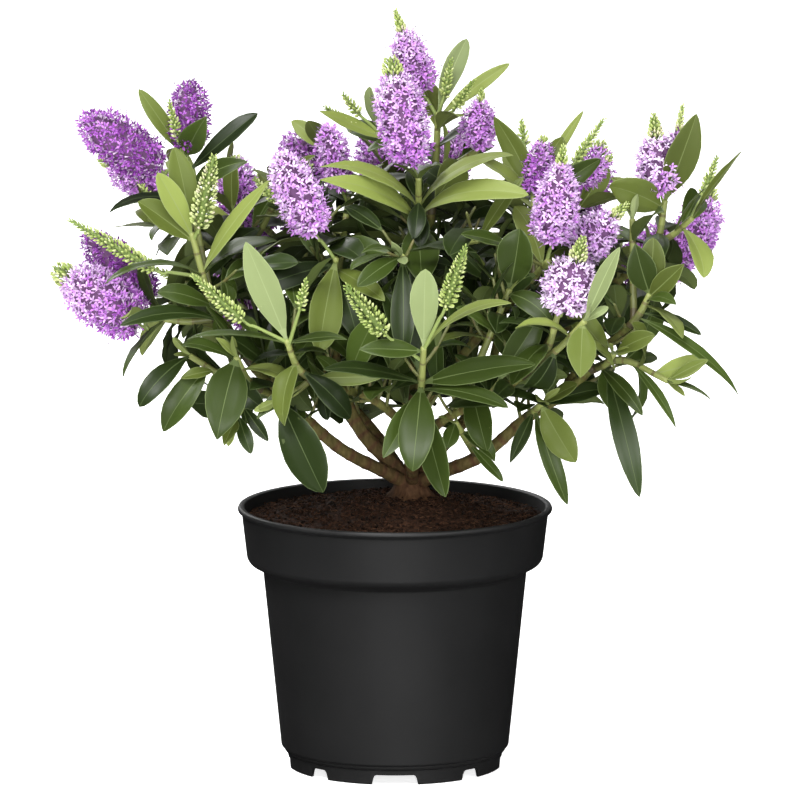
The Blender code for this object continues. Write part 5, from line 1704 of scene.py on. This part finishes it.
def add_spike(florets, buds, spike, tones, bud_tones, rng):
    """A flower spike or a raceme of buds, on its stalk."""
    foot, tip = np.array(spike.foot), np.array(spike.tip)
    length = np.linalg.norm(tip - foot)
    way = (tip - foot) / length
    side = np.array(across(Vector(way)))
    other = np.cross(way, side)
    start = np.array(spike.start)
    path = [Vector(start), Vector(foot * 0.7 + start * 0.3), Vector(foot), Vector(foot + way * length * 0.96)]
    add_stem(
        buds, path, (1.25, 1.05, 0.9, 0.45), (), lambda s: np.full(len(s), len(BUDS) + 1), rng, 6, 2.4
    )
    bent_way = way
    form = "bud" if not spike.open_part else ("blunt" if spike.open_part > 0.8 else "long")
    at, size = SPIKE_FORMS[form]

    def width_at(share):
        return spike.radius * np.interp(share, at, size)

    space = FLORET_SPACE if spike.open_part else BUD_SPACE
    if spike.open_part:
        # A core in painted shade fills the spike's heart under its florets
        inside = [Vector(foot + way * length * share) for share in (0.04, 0.3, 0.6, spike.open_part * 0.95)]
        widths = [max(width_at(share) - CORE_DEPTH, 0.8) for share in (0.04, 0.3, 0.6)] + [width_at(1) * 0.5]
        add_painted_shade_core(florets, inside, widths)
        shares, turns = spiral(length, width_at, space, rng)
        shares, turns = shares[shares < spike.open_part], turns[: len(shares)]
        turns = turns[: len(shares)]
        out = side * np.cos(turns)[:, None] + other * np.sin(turns)[:, None]
        jitter = np.array([rng.uniform(0.8, 1.06) for _ in shares])
        shoulder = np.clip((shares / spike.open_part - 0.78) / 0.22, 0, 1)
        lean = 0.25 + 1.5 * shoulder
        ways = out + bent_way * lean[:, None]
        places = foot + way * (shares * length)[:, None] + out * ((width_at(shares) * jitter - 2.2) * (1 - 0.35 * shoulder))[:, None]
        ways += np.array([[rng.uniform(-0.55, 0.55) for _ in range(3)] for _ in shares])
        spins = np.array([rng.uniform(0, 6.3) for _ in shares])
        sizes = np.array([rng.uniform(0.85, 1.1) for _ in shares]) * (1 - 0.25 * shares)
        base_tone, tip_tone = tones
        tone = base_tone + (tip_tone - base_tone) * shares / spike.open_part
        tone = np.array([int(round(min(max(t + rng.uniform(-1.1, 1.1), 0), len(PETALS) - 1))) for t in tone])
        frames = facing(ways, spins, sizes)
        for k, shape in enumerate(FLORETS):
            mine = np.arange(len(shares)) % len(FLORETS) == k
            scatter(florets, shape, frames[mine], places[mine], tone[mine] + FREE_TONES)
    if spike.open_part < 1:
        first = spike.open_part
        bud_length = length * (1 - first)

        def bud_width(share):
            whole = first + share * (1 - first)
            narrow = 1.0 if not spike.open_part else 0.58
            return width_at(whole) * narrow

        inside = [Vector(foot + way * length * (first + (1 - first) * share)) for share in (0.1, 0.5, 0.95)]
        add_stem(buds, inside, [max(bud_width(s) * 0.32, 0.5) for s in (0.1, 0.5, 0.95)], (), green_core, rng, 6, 3)
        shares, turns = spiral(bud_length, bud_width, BUD_SPACE, rng, 0.0 if spike.open_part else 0.45)
        shares = first + shares * (1 - first)
        out = side * np.cos(turns)[:, None] + other * np.sin(turns)[:, None]
        width = np.array([bud_width((s - first) / max(1 - first, 0.01)) for s in shares])
        size = np.interp(shares, (first, 1), (1.1 if first else 1.2, 0.6)) * np.array([rng.uniform(0.85, 1.15) for _ in shares])
        reach = np.maximum(width - 3.0 * size, 0.4)
        places = foot + way * (shares * length)[:, None] + out * reach[:, None]
        lean = np.interp(shares, (0, 1), (0.45, 1.6))
        frames = facing(out + way * lean[:, None], np.zeros(len(shares)), size)
        paler = 1 if first else 0
        tone = np.array([min(max(rng.choice(bud_tones) - (share > 0.8) + paler, 0), 4) for share in shares])
        scatter(buds, BUD, frames, places, tone + 1)


FLORET_RNG = random.Random(7)
FLORETS = [floret(FLORET_RNG, stamens) for stamens in (2, 0, 1, 0, 1, 0)]
BUD = bud_shape()


def flower_finishes():
    made = [
        finish("floret_throat", THROAT, 0.6),
        finish("floret_filament", FILAMENT, 0.6),
        finish("floret_anther", ANTHER, 0.5),
        # The core's dark violet is painted shade
        finish("floret_core", PAINTED_SHADE_CORE, 0.8, Specular_IOR_Level=0.1),
    ]
    for index, colour in enumerate(PETALS):
        made.append(finish(f"petal_{index}", colour, 0.6, Specular_IOR_Level=0.25))
    return made


def bud_finishes():
    made = [finish("bud_calyx", CALYX, 0.55)]
    for index, colour in enumerate(BUDS):
        made.append(finish(f"bud_{index}", colour, 0.45))
    made.append(finish("spike_stalk", STALK_GREEN, 0.5))
    return made


# Pot and peat

def noisy_bump(made, scale, strength, distance):
    nodes, links = made.node_tree.nodes, made.node_tree.links
    shader = nodes["Principled BSDF"]
    where = nodes.new("ShaderNodeTexCoord")
    noise = nodes.new("ShaderNodeTexNoise")
    noise.inputs["Scale"].default_value = scale
    noise.inputs["Detail"].default_value = 6
    bump = nodes.new("ShaderNodeBump")
    bump.inputs["Strength"].default_value = strength
    bump.inputs["Distance"].default_value = distance
    links.new(where.outputs["Object"], noise.inputs["Vector"])
    links.new(noise.outputs["Fac"], bump.inputs["Height"])
    links.new(bump.outputs["Normal"], shader.inputs["Normal"])
    return noise


def plastic_finish():
    """Satin black plastic with a fine moulded grain and soft rubbed patches."""
    made = finish("pot_plastic_satin", (0.006, 0.006, 0.0065), 0.6)
    nodes, links = made.node_tree.nodes, made.node_tree.links
    shader = nodes["Principled BSDF"]
    noise = noisy_bump(made, 900, 0.12, 0.0002)
    where = nodes.new("ShaderNodeTexCoord")
    wide = nodes.new("ShaderNodeTexNoise")
    wide.inputs["Scale"].default_value = 22
    wide.inputs["Detail"].default_value = 5
    span = nodes.new("ShaderNodeMapRange")
    span.inputs["To Min"].default_value = 0.54
    span.inputs["To Max"].default_value = 0.66
    links.new(where.outputs["Object"], wide.inputs["Vector"])
    links.new(wide.outputs["Fac"], span.inputs["Value"])
    links.new(span.outputs["Result"], shader.inputs["Roughness"])
    ramp = nodes.new("ShaderNodeValToRGB")
    ramp.color_ramp.elements[0].color = (0.0035, 0.0035, 0.0037, 1)
    ramp.color_ramp.elements[1].color = (0.006, 0.006, 0.0062, 1)
    links.new(wide.outputs["Fac"], ramp.inputs["Fac"])
    links.new(ramp.outputs["Color"], shader.inputs["Base Color"])
    return made


FINE_SEGMENTS = 160
NOTCH_CORNER = 2.8


def rounded(profile, size, steps=3):
    """The profile with each corner between long enough sides cut by a small curve."""
    points = [Vector(p) for p in profile]
    out = [points[0]]
    for before, here, after in zip(points, points[1:], points[2:]):
        back, on = before - here, after - here
        reach = min(size, back.length * 0.42, on.length * 0.42)
        a, b = here + back.normalized() * reach, here + on.normalized() * reach
        for k in range(steps + 1):
            t = k / steps
            out.append(a * (1 - t) ** 2 + here * 2 * t * (1 - t) + b * t * t)
    out.append(points[-1])
    return [tuple(p) for p in out]


def fine_pot(finish_pot):
    """The pot with rounded edges, its foot ring raised over each notch."""
    profile = rounded(pot_profile(), 1.1)
    angles = []
    notch = []
    for k in range(NOTCHES):
        middle = 2 * math.pi * k / NOTCHES - math.pi / 2
        half = (NARROW_NOTCH if k % 2 else WIDE_NOTCH) / 2 / FOOT_RADIUS
        notch.append((middle, half))
    plain = [2 * math.pi * k / FINE_SEGMENTS for k in range(FINE_SEGMENTS)]
    for middle, half in notch:
        for edge, sign in ((middle - half, 1), (middle + half, -1)):
            angles += [edge + sign * depth / FOOT_RADIUS for depth in (-0.25, 0.25, 0.6, 1.1, 1.8, 2.8)]
    angles = sorted({round(a % (2 * math.pi), 5) for a in plain + angles})

    def rise_at(angle):
        """How far the foot is cut away there: the notches have rounded corners."""
        for middle, half in notch:
            depth = (half - abs((angle - middle + math.pi) % (2 * math.pi) - math.pi)) * FOOT_RADIUS
            if depth > 0:
                return NOTCH_HEIGHT * math.sqrt(1 - (1 - min(depth / NOTCH_CORNER, 1)) ** 2)
        return 0

    points = [(0, 0, profile[0][1])]
    for radius, height in profile[1:-1]:
        for angle in angles:
            level = max(height, rise_at(angle))
            points.append((radius * math.cos(angle), radius * math.sin(angle), level))
    points.append((0, 0, profile[-1][1]))
    rows, columns = len(profile) - 2, len(angles)
    k = np.arange(columns)
    none = np.full(columns, -1)
    middle_faces = grid_faces(rows, columns, True) + 1
    foot = np.stack([np.zeros(columns, int), 1 + (k + 1) % columns, 1 + k, none], axis=1)
    last = 1 + (rows - 1) * columns
    top = np.stack([last + k, last + (k + 1) % columns, np.full(columns, len(points) - 1), none], axis=1)
    heap = Heap()
    heap.add(np.array(points), np.concatenate([foot, middle_faces, top]), 0)
    made = heap.build("pot_body", [finish_pot], "pot_plastic")
    made.data.set_sharp_from_angle(angle=math.radians(38))
    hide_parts("pot")
    return made


PEAT_TONES = (
    (0.016, 0.007, 0.0035),
    (0.026, 0.0115, 0.006),
    (0.043, 0.019, 0.01),
    (0.085, 0.042, 0.023),
    (0.007, 0.0035, 0.002),
)


def peat_height(x, y):
    """The mounded top of the peat under a point."""
    radius = math.hypot(x, y)
    rows = [p for p in soil_profile() if p[1] >= SOIL_AT_WALL]
    rows = sorted(rows)
    return float(np.interp(radius, [r for r, _ in rows], [h for _, h in rows]))


def crumb(rng):
    """A small uneven lump."""
    points, faces = [], []
    sides, rings = 5, (-0.6, 0.5)
    points.append((0, 0, -1.0))
    for row, height in enumerate(rings):
        for k in range(sides):
            angle = 2 * math.pi * (k + 0.5 * row) / sides
            radius = rng.uniform(0.45, 1.2)
            points.append((radius * math.cos(angle), radius * math.sin(angle), height * rng.uniform(0.7, 1.2)))
    points.append((0, 0, 1.0))
    for k in range(sides):
        a, b = 1 + k, 1 + (k + 1) % sides
        faces += [(0, b, a, -1), (a, b, a + sides, -1), (b, b + sides, a + sides, -1), (a + sides, b + sides, 11, -1)]
    return np.array(points, float), np.array(faces), np.full(len(faces), PETAL)


def fine_peat(finishes):
    """The root ball, its rough top, and the crumbs and fibres that lie on it."""
    rng = random.Random(31)
    heap = Heap()
    side_rows = [p for p in soil_profile() if p[1] < SOIL_AT_WALL]
    body = turned(tuple(side_rows) + ((0, SOIL_AT_WALL - 1.5),), 48)
    faces = np.array([tuple(face) + (-1,) * (4 - len(face)) for face in body[1]])
    heap.add(np.array([tuple(p) for p in body[0]]), faces, 0)
    rim = max(r for r, h in soil_profile() if h >= SOIL_AT_WALL - 2)
    rings, columns = 84, 210
    radius = np.linspace(0.3, rim + 1.2, rings)
    angle = 2 * math.pi * np.arange(columns) / columns
    x = (radius[:, None] * np.cos(angle)).ravel()
    y = (radius[:, None] * np.sin(angle)).ravel()
    z = []
    for a, b in zip(x, y):
        place = Vector((a, b, 0))
        lumps = noise_at(place * 0.09) * 1.6 + noise_at(place * 0.3) * 1.3 + noise_at(place * 0.9) * 0.7
        z.append(peat_height(a, b) + lumps)
    top = grid_faces(rings, columns, True)
    tones = np.array([int(3.0 * min(max(0.5 + noise_at(Vector((x[f[0]], y[f[0]], 40)) * 0.5), 0), 0.99)) for f in top])
    heap.add(np.stack([x, y, np.array(z)], axis=1), top, tones)
    shapes = [crumb(rng) for _ in range(6)]
    for shape in shapes:
        count = 320
        spread = [rim * math.sqrt(rng.random()) for _ in range(count)]
        turns = [rng.uniform(0, 6.3) for _ in range(count)]
        places = []
        for r, t in zip(spread, turns):
            a, b = r * math.cos(t), r * math.sin(t)
            places.append((a, b, peat_height(a, b) + rng.uniform(0.2, 1.6)))
        ways = np.array([(rng.uniform(-1, 1), rng.uniform(-1, 1), rng.uniform(0.2, 1)) for _ in range(count)])
        sizes = np.array([rng.uniform(0.3, 1.3) for _ in range(count)])
        tones = np.array([rng.choice((0, 0, 1, 1, 2, 4)) for _ in range(count)])
        scatter(heap, shape, facing(ways, sizes * 3, sizes), np.array(places), tones)
    for _ in range(2600):
        r, t = rim * math.sqrt(rng.random()), rng.uniform(0, 6.3)
        a, b = r * math.cos(t), r * math.sin(t)
        turn, size = rng.uniform(0, 6.3), rng.uniform(1.5, 5.5)
        path = []
        level = peat_height(a, b) + rng.uniform(0.6, 1.8)
        for step in range(4):
            path.append(Vector((a, b, level + rng.uniform(-0.5, 0.9))))
            a, b = a + size / 3 * math.cos(turn), b + size / 3 * math.sin(turn)
            turn += rng.uniform(-0.7, 0.7)
        if math.hypot(a, b) > rim:
            continue
        width = rng.uniform(0.1, 0.26)
        points, faces = tube(path, [width, width * 1.1, width, width * 0.5], 3)
        quads = np.array([tuple(face) + (-1,) * (4 - len(face)) for face in faces])
        heap.add(np.array([tuple(p) for p in points]), quads, rng.choice((1, 2, 2, 3, 3, 4)))
    made = heap.build("peat_ball", finishes, "peat")
    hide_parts("soil")
    return made


def noise_at(place):
    return noise.noise(place)


# Limbs, with the bark's relief

def bark_finish():
    """Smooth reddish brown bark, greener on the upper limbs, with fine cracks and pale flecks."""
    made = finish("bark_brown", (0.08, 0.045, 0.022), 0.78, Specular_IOR_Level=0.12)
    nodes, links = made.node_tree.nodes, made.node_tree.links
    shader = nodes["Principled BSDF"]
    where = nodes.new("ShaderNodeTexCoord")
    stretch = nodes.new("ShaderNodeMapping")
    stretch.inputs["Scale"].default_value = (1, 1, 0.3)
    links.new(where.outputs["Object"], stretch.inputs["Vector"])
    grain = nodes.new("ShaderNodeTexNoise")
    grain.inputs["Scale"].default_value = 420
    grain.inputs["Detail"].default_value = 8
    links.new(stretch.outputs["Vector"], grain.inputs["Vector"])
    age = nodes.new("ShaderNodeAttribute")
    age.attribute_name = "age"
    old = nodes.new("ShaderNodeValToRGB")
    old.color_ramp.elements[0].position = 0.3
    old.color_ramp.elements[0].color = (0.042, 0.02, 0.01, 1)
    old.color_ramp.elements[1].position = 0.75
    old.color_ramp.elements[1].color = (0.115, 0.06, 0.03, 1)
    young = nodes.new("ShaderNodeValToRGB")
    young.color_ramp.elements[0].position = 0.3
    young.color_ramp.elements[0].color = (0.062, 0.07, 0.016, 1)
    young.color_ramp.elements[1].position = 0.75
    young.color_ramp.elements[1].color = (0.13, 0.145, 0.038, 1)
    links.new(grain.outputs["Fac"], old.inputs["Fac"])
    links.new(grain.outputs["Fac"], young.inputs["Fac"])
    mix = nodes.new("ShaderNodeMix")
    mix.data_type = "RGBA"
    links.new(age.outputs["Fac"], mix.inputs["Factor"])
    links.new(young.outputs["Color"], mix.inputs["A"])
    links.new(old.outputs["Color"], mix.inputs["B"])
    links.new(mix.outputs["Result"], shader.inputs["Base Color"])
    bump = nodes.new("ShaderNodeBump")
    bump.inputs["Strength"].default_value = 0.5
    bump.inputs["Distance"].default_value = 0.0005
    links.new(grain.outputs["Fac"], bump.inputs["Height"])
    links.new(bump.outputs["Normal"], shader.inputs["Normal"])
    return made


LIMB_FINE_SIDES = 16


def add_limb(heap, ages, path, radii, young, old, seed):
    """A limb with long low ridges, leaf scars in pairs and an uneven skin."""
    points, shares = smooth(path, 1.3)
    radius = np.interp(shares, np.linspace(0, 1, len(radii)), radii)
    length = 1.3 * len(points)
    scar = 9.0
    _, side, other = frames_along(points)
    angle = 2 * math.pi * np.arange(LIMB_FINE_SIDES) / LIMB_FINE_SIDES
    ring = []
    for i, share in enumerate(shares):
        along = share * length
        pair = int(along / scar)
        near = math.exp(-(((along % scar) - scar / 2) ** 2) / 1.1)
        for a in angle:
            where = Vector((math.cos(a) * 2, math.sin(a) * 2, along * 0.12 + seed * 17))
            rough = noise_at(where) * 0.05 + noise_at(where * 3.1) * 0.03
            facing_pair = math.cos(2 * (a - pair * math.pi / 2)) * 0.5 + 0.5
            swell = 1 + rough + near * (0.04 + 0.1 * facing_pair)
            ring.append(points[i] + (side[i] * math.cos(a) + other[i] * math.sin(a)) * radius[i] * swell)
            ages.append(min(old + (young - old) * share + 0.5 * near, 1.0))
    end = points[-1] + (points[-1] - points[-2]) * 0.2
    begin = points[0] - (points[1] - points[0]) * 0.2
    ages += [young, old]
    body = np.concatenate([np.array(ring), [end], [begin]])
    faces = grid_faces(len(points), LIMB_FINE_SIDES, True)
    last = (len(points) - 1) * LIMB_FINE_SIDES
    k = np.arange(LIMB_FINE_SIDES)
    after = (k + 1) % LIMB_FINE_SIDES
    none = np.full(LIMB_FINE_SIDES, -1)
    cap = np.stack([last + k, last + after, np.full(LIMB_FINE_SIDES, len(body) - 2), none], axis=1)
    foot = np.stack([after, k, np.full(LIMB_FINE_SIDES, len(body) - 1), none], axis=1)
    heap.add(body, np.concatenate([faces, cap, foot]), 0)


def fine_base(heap, ages):
    """The flared foot, its rings rounded out and roughened."""
    centre = np.array((*BASE_CENTRE, SOIL_TOP))
    rows, columns = 14, 40
    points = []
    for row in range(rows):
        share = row / (rows - 1)
        size = np.interp(share, [r[0] for r in BASE_RINGS], [r[1] for r in BASE_RINGS])
        for k in range(columns):
            angle = 2 * math.pi * k / columns
            lobes = 1 + LOBE_DEPTH * (1 - share) * math.cos(BASE_LOBES * angle + LOBE_TURN)
            rough = noise_at(Vector((math.cos(angle) * 3, math.sin(angle) * 3, share * 4))) * 0.08
            radius = FLARE_RADIUS * size * (lobes + rough)
            points.append(
                centre
                + (-BASE_LEAN * share, 0, BASE_HEIGHT * share)
                + np.array((radius * math.cos(angle), radius * math.sin(angle), 0))
            )
            ages.append(1.0)
    points.append(centre + (-BASE_LEAN, 0, BASE_HEIGHT + 1.5))
    ages.append(1.0)
    faces = grid_faces(rows, columns, True)
    last = (rows - 1) * columns
    k = np.arange(columns)
    cap = np.stack([last + k, last + (k + 1) % columns, np.full(columns, len(points) - 1), np.full(columns, -1)], axis=1)
    heap.add(np.array(points), np.concatenate([faces, cap]), 0)


def fine_limbs(growth):
    """Every limb and the stem base, in one piece."""
    heap, ages = Heap(), []
    fine_base(heap, ages)
    fork = Vector((*BASE_CENTRE, SOIL_TOP + GAP + FORK_HEIGHT))
    depth = {}
    for index, limb in enumerate(LIMBS):
        path, radii, _ = growth.limbs[limb.name]
        path, radii = list(path), list(radii)
        level = depth[limb.name] = 0 if limb.parent == "stem_base" else depth[limb.parent] + 1
        if level == 0:
            path = [fork, *path]
            radii = [radii[0] + FORK_SWELL, *radii]
        else:
            way = unit(path[1] - path[0])
            path = [path[0] - way * 1.6, *path]
            radii = [radii[0] * 1.15, *radii]
        old = (0.95, 0.45, 0.2)[min(level, 2)]
        young = (0.1, 0.0, 0.0)[min(level, 2)]
        add_limb(heap, ages, path, radii, young, old, index)
    made = heap.build("stems_bark", [bark_finish()], "bark")
    attribute = made.data.attributes.new("age", "FLOAT", "POINT")
    attribute.data.foreach_set("value", np.array(ages, np.float32))
    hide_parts("stem_base", *[limb.name for limb in LIMBS])
    return made


# Scene

def place_camera():
    rise = math.radians(CAMERA_RISE)
    data = bpy.data.cameras.new("camera")
    data.lens = CAMERA_LENS
    data.sensor_width = 36
    data.clip_end = 50
    camera = bpy.data.objects.new("camera", data)
    bpy.context.scene.collection.objects.link(camera)
    camera.location = AIM + Vector((0, -math.cos(rise), math.sin(rise))) * CAMERA_DISTANCE
    camera.rotation_euler = (math.pi / 2 - rise, 0, 0)
    bpy.context.scene.camera = camera


def add_light(name, place, size, power, aim=(0, 0, 0.22)):
    data = bpy.data.lights.new(name, "AREA")
    data.shape = "RECTANGLE"
    data.size, data.size_y = size
    data.energy = power
    light = bpy.data.objects.new(name, data)
    bpy.context.scene.collection.objects.link(light)
    light.location = place
    light.rotation_euler = (Vector(aim) - Vector(place)).to_track_quat("-Z", "Y").to_euler()


def add_backdrop(name, points, faces, glow):
    """A plain pale surface round the object, bright enough to look evenly lit."""
    mesh = bpy.data.meshes.new(name)
    mesh.from_pydata(points, [], faces)
    white = (1, 1, 1, 1)
    mesh.materials.append(finish(f"{name}_white", (0.86, 0.86, 0.86), 0.8, Emission_Color=white, Emission_Strength=glow))
    made = bpy.data.objects.new(name, mesh)
    bpy.context.scene.collection.objects.link(made)
    made.visible_glossy = False
    return made


def make_stage():
    ring = [(STAGE_REACH * math.cos(k * math.pi / 32), STAGE_REACH * math.sin(k * math.pi / 32)) for k in range(64)]
    floor = [(x, y, 0) for x, y in ring]
    add_backdrop("floor", floor, [tuple(range(64))], FLOOR_GLOW)
    wall = floor + [(x, y, STAGE_HEIGHT) for x, y in ring]
    faces = [(k, (k + 1) % 64, (k + 1) % 64 + 64, k + 64) for k in range(64)]
    backdrop = add_backdrop("backdrop", wall, faces, WALL_GLOW)
    backdrop.visible_diffuse = False
    backdrop.visible_shadow = False
    world = bpy.data.worlds.new("studio")
    world.use_nodes = True
    world.node_tree.nodes["Background"].inputs["Color"].default_value = (1, 1, 1, 1)
    world.node_tree.nodes["Background"].inputs["Strength"].default_value = 0.22
    bpy.context.scene.world = world
    world.cycles_visibility.glossy = False
    add_light("key", (-0.9, -1.5, 2.5), (1.5, 1.5), 120)
    add_light("fill", (1.6, -1.9, 1.5), (1.2, 1.2), 30)
    add_light("front", (0.05, -3.2, 0.55), (0.8, 1.0), 60)
    add_light("back", (0.0, 3.8, 3.4), (5.0, 2.0), 80, (0, 2.0, 0))
    add_light("rear", (-1.2, 2.4, 1.6), (1.5, 1.5), 36)
    bpy.context.scene.view_settings.view_transform = "Standard"
    bpy.context.scene.view_settings.look = "None"


def main():
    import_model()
    place_camera()
    make_stage()
    growth = Growth()
    base = stem_base_solids()
    fixed = [("pot", turned(pot_profile(), POT_SEGMENTS)), ("soil", turned(soil_profile(), SOIL_SEGMENTS))]
    fixed += [("stem_base", solid) for solid in base]
    growth.grow(fixed)

    fine_pot(plastic_finish())
    peat = [finish(f"peat_{index}", colour, 0.9, Specular_IOR_Level=0.15) for index, colour in enumerate(PEAT_TONES)]
    fine_peat(peat)
    fine_limbs(growth)

    finer = Finer(growth)
    finer.grow()
    stems = Heap()
    leaves = {"left": Heap(), "right": Heap(), "back": Heap()}
    florets = {"left": Heap(), "right": Heap(), "back": Heap()}
    buds = {"left": Heap(), "right": Heap(), "back": Heap()}
    crowd = Crowd([spike for mass in MASSES for spike in growth.spikes[mass.name]])
    for seed, mass in enumerate(MASSES):
        rng = random.Random(900 + seed)
        centre = growth.stem_of(mass)[-1]
        hand = "left" if centre.x < 0 else "right"
        part = "back" if centre.y > 40 else hand
        for leaf, kind in zip(growth.leaves[mass.name], growth.kinds[mass.name]):
            add_leaf(leaves[part], crowd, leaf, age_and_shade_of(mass, kind, rng), rng)
        for index, (path, first, pairs, *_) in enumerate(growth.shoots[mass.name]):
            radius = MASS_STEM_RADIUS if index == 0 else SHOOT_RADIUS
            nodes = [1 - LEAFY_SHARE * pair / pairs for pair in range(pairs)]
            inner = mass.name.startswith("foliage_right") or index == 0

            def tone(shares):
                return np.clip((3.4 * (1 - shares)).astype(int), 0, len(STEM_TONES) - 1)

            add_stem(stems, path, (radius, SHOOT_TIP_RADIUS), nodes, tone, rng)
            if all((spike.start - path[-1]).length > END_CLEAR for spike in growth.spikes[mass.name]):
                add_end_bud(leaves[part], path, rng)
        for spike in growth.spikes[mass.name]:
            row = [k for k, given in enumerate(mass.spikes) if Vector(given[2]) == spike.tip]
            row = row[0] if row else None
            *tones, spike.open_part = SPIKE_TONES.get(mass.name, {}).get(row, (2, 4, spike.open_part))
            bud_tones = RACEME_TONES.get(mass.name, {}).get(row, (1, 2, 2, 3))
            add_spike(florets[part], buds[part], spike, tones, bud_tones, rng)
    rng = random.Random(77)
    # The finer leaves fill the crown's inside. Their dark tones, o and d most, are partly the green of older leaves
    # and partly painted shade
    for leaf, low in finer.leaves:
        hand = "left" if leaf.base.x < 0 else "right"
        part = "back" if leaf.base.y > 40 else hand
        add_leaf(leaves[part], crowd, leaf, rng.choice("mmoo" if low < 0.5 else "oodd"), rng)
    for twig in finer.twigs:
        add_stem(stems, twig, (1.2, 0.9), (0.5,), lambda s: np.full(len(s), 2), rng, 6, 3)
    leaf_looks, flower_looks, bud_looks = leaf_finishes(), flower_finishes(), bud_finishes()
    stem_looks = [finish(f"stem_{i}", colour, 0.5) for i, colour in enumerate((*STEM_TONES, STEM_RING))]
    pieces = [heap.build(f"leaves_{name}", leaf_looks, "foliage") for name, heap in leaves.items()]
    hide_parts(*[mass.name for mass in MASSES])
    stems.build("shoots", stem_looks, "foliage")
    for name in florets:
        florets[name].build(f"florets_{name}", flower_looks, "foliage")
        buds[name].build(f"buds_{name}", bud_looks, "foliage")


main()
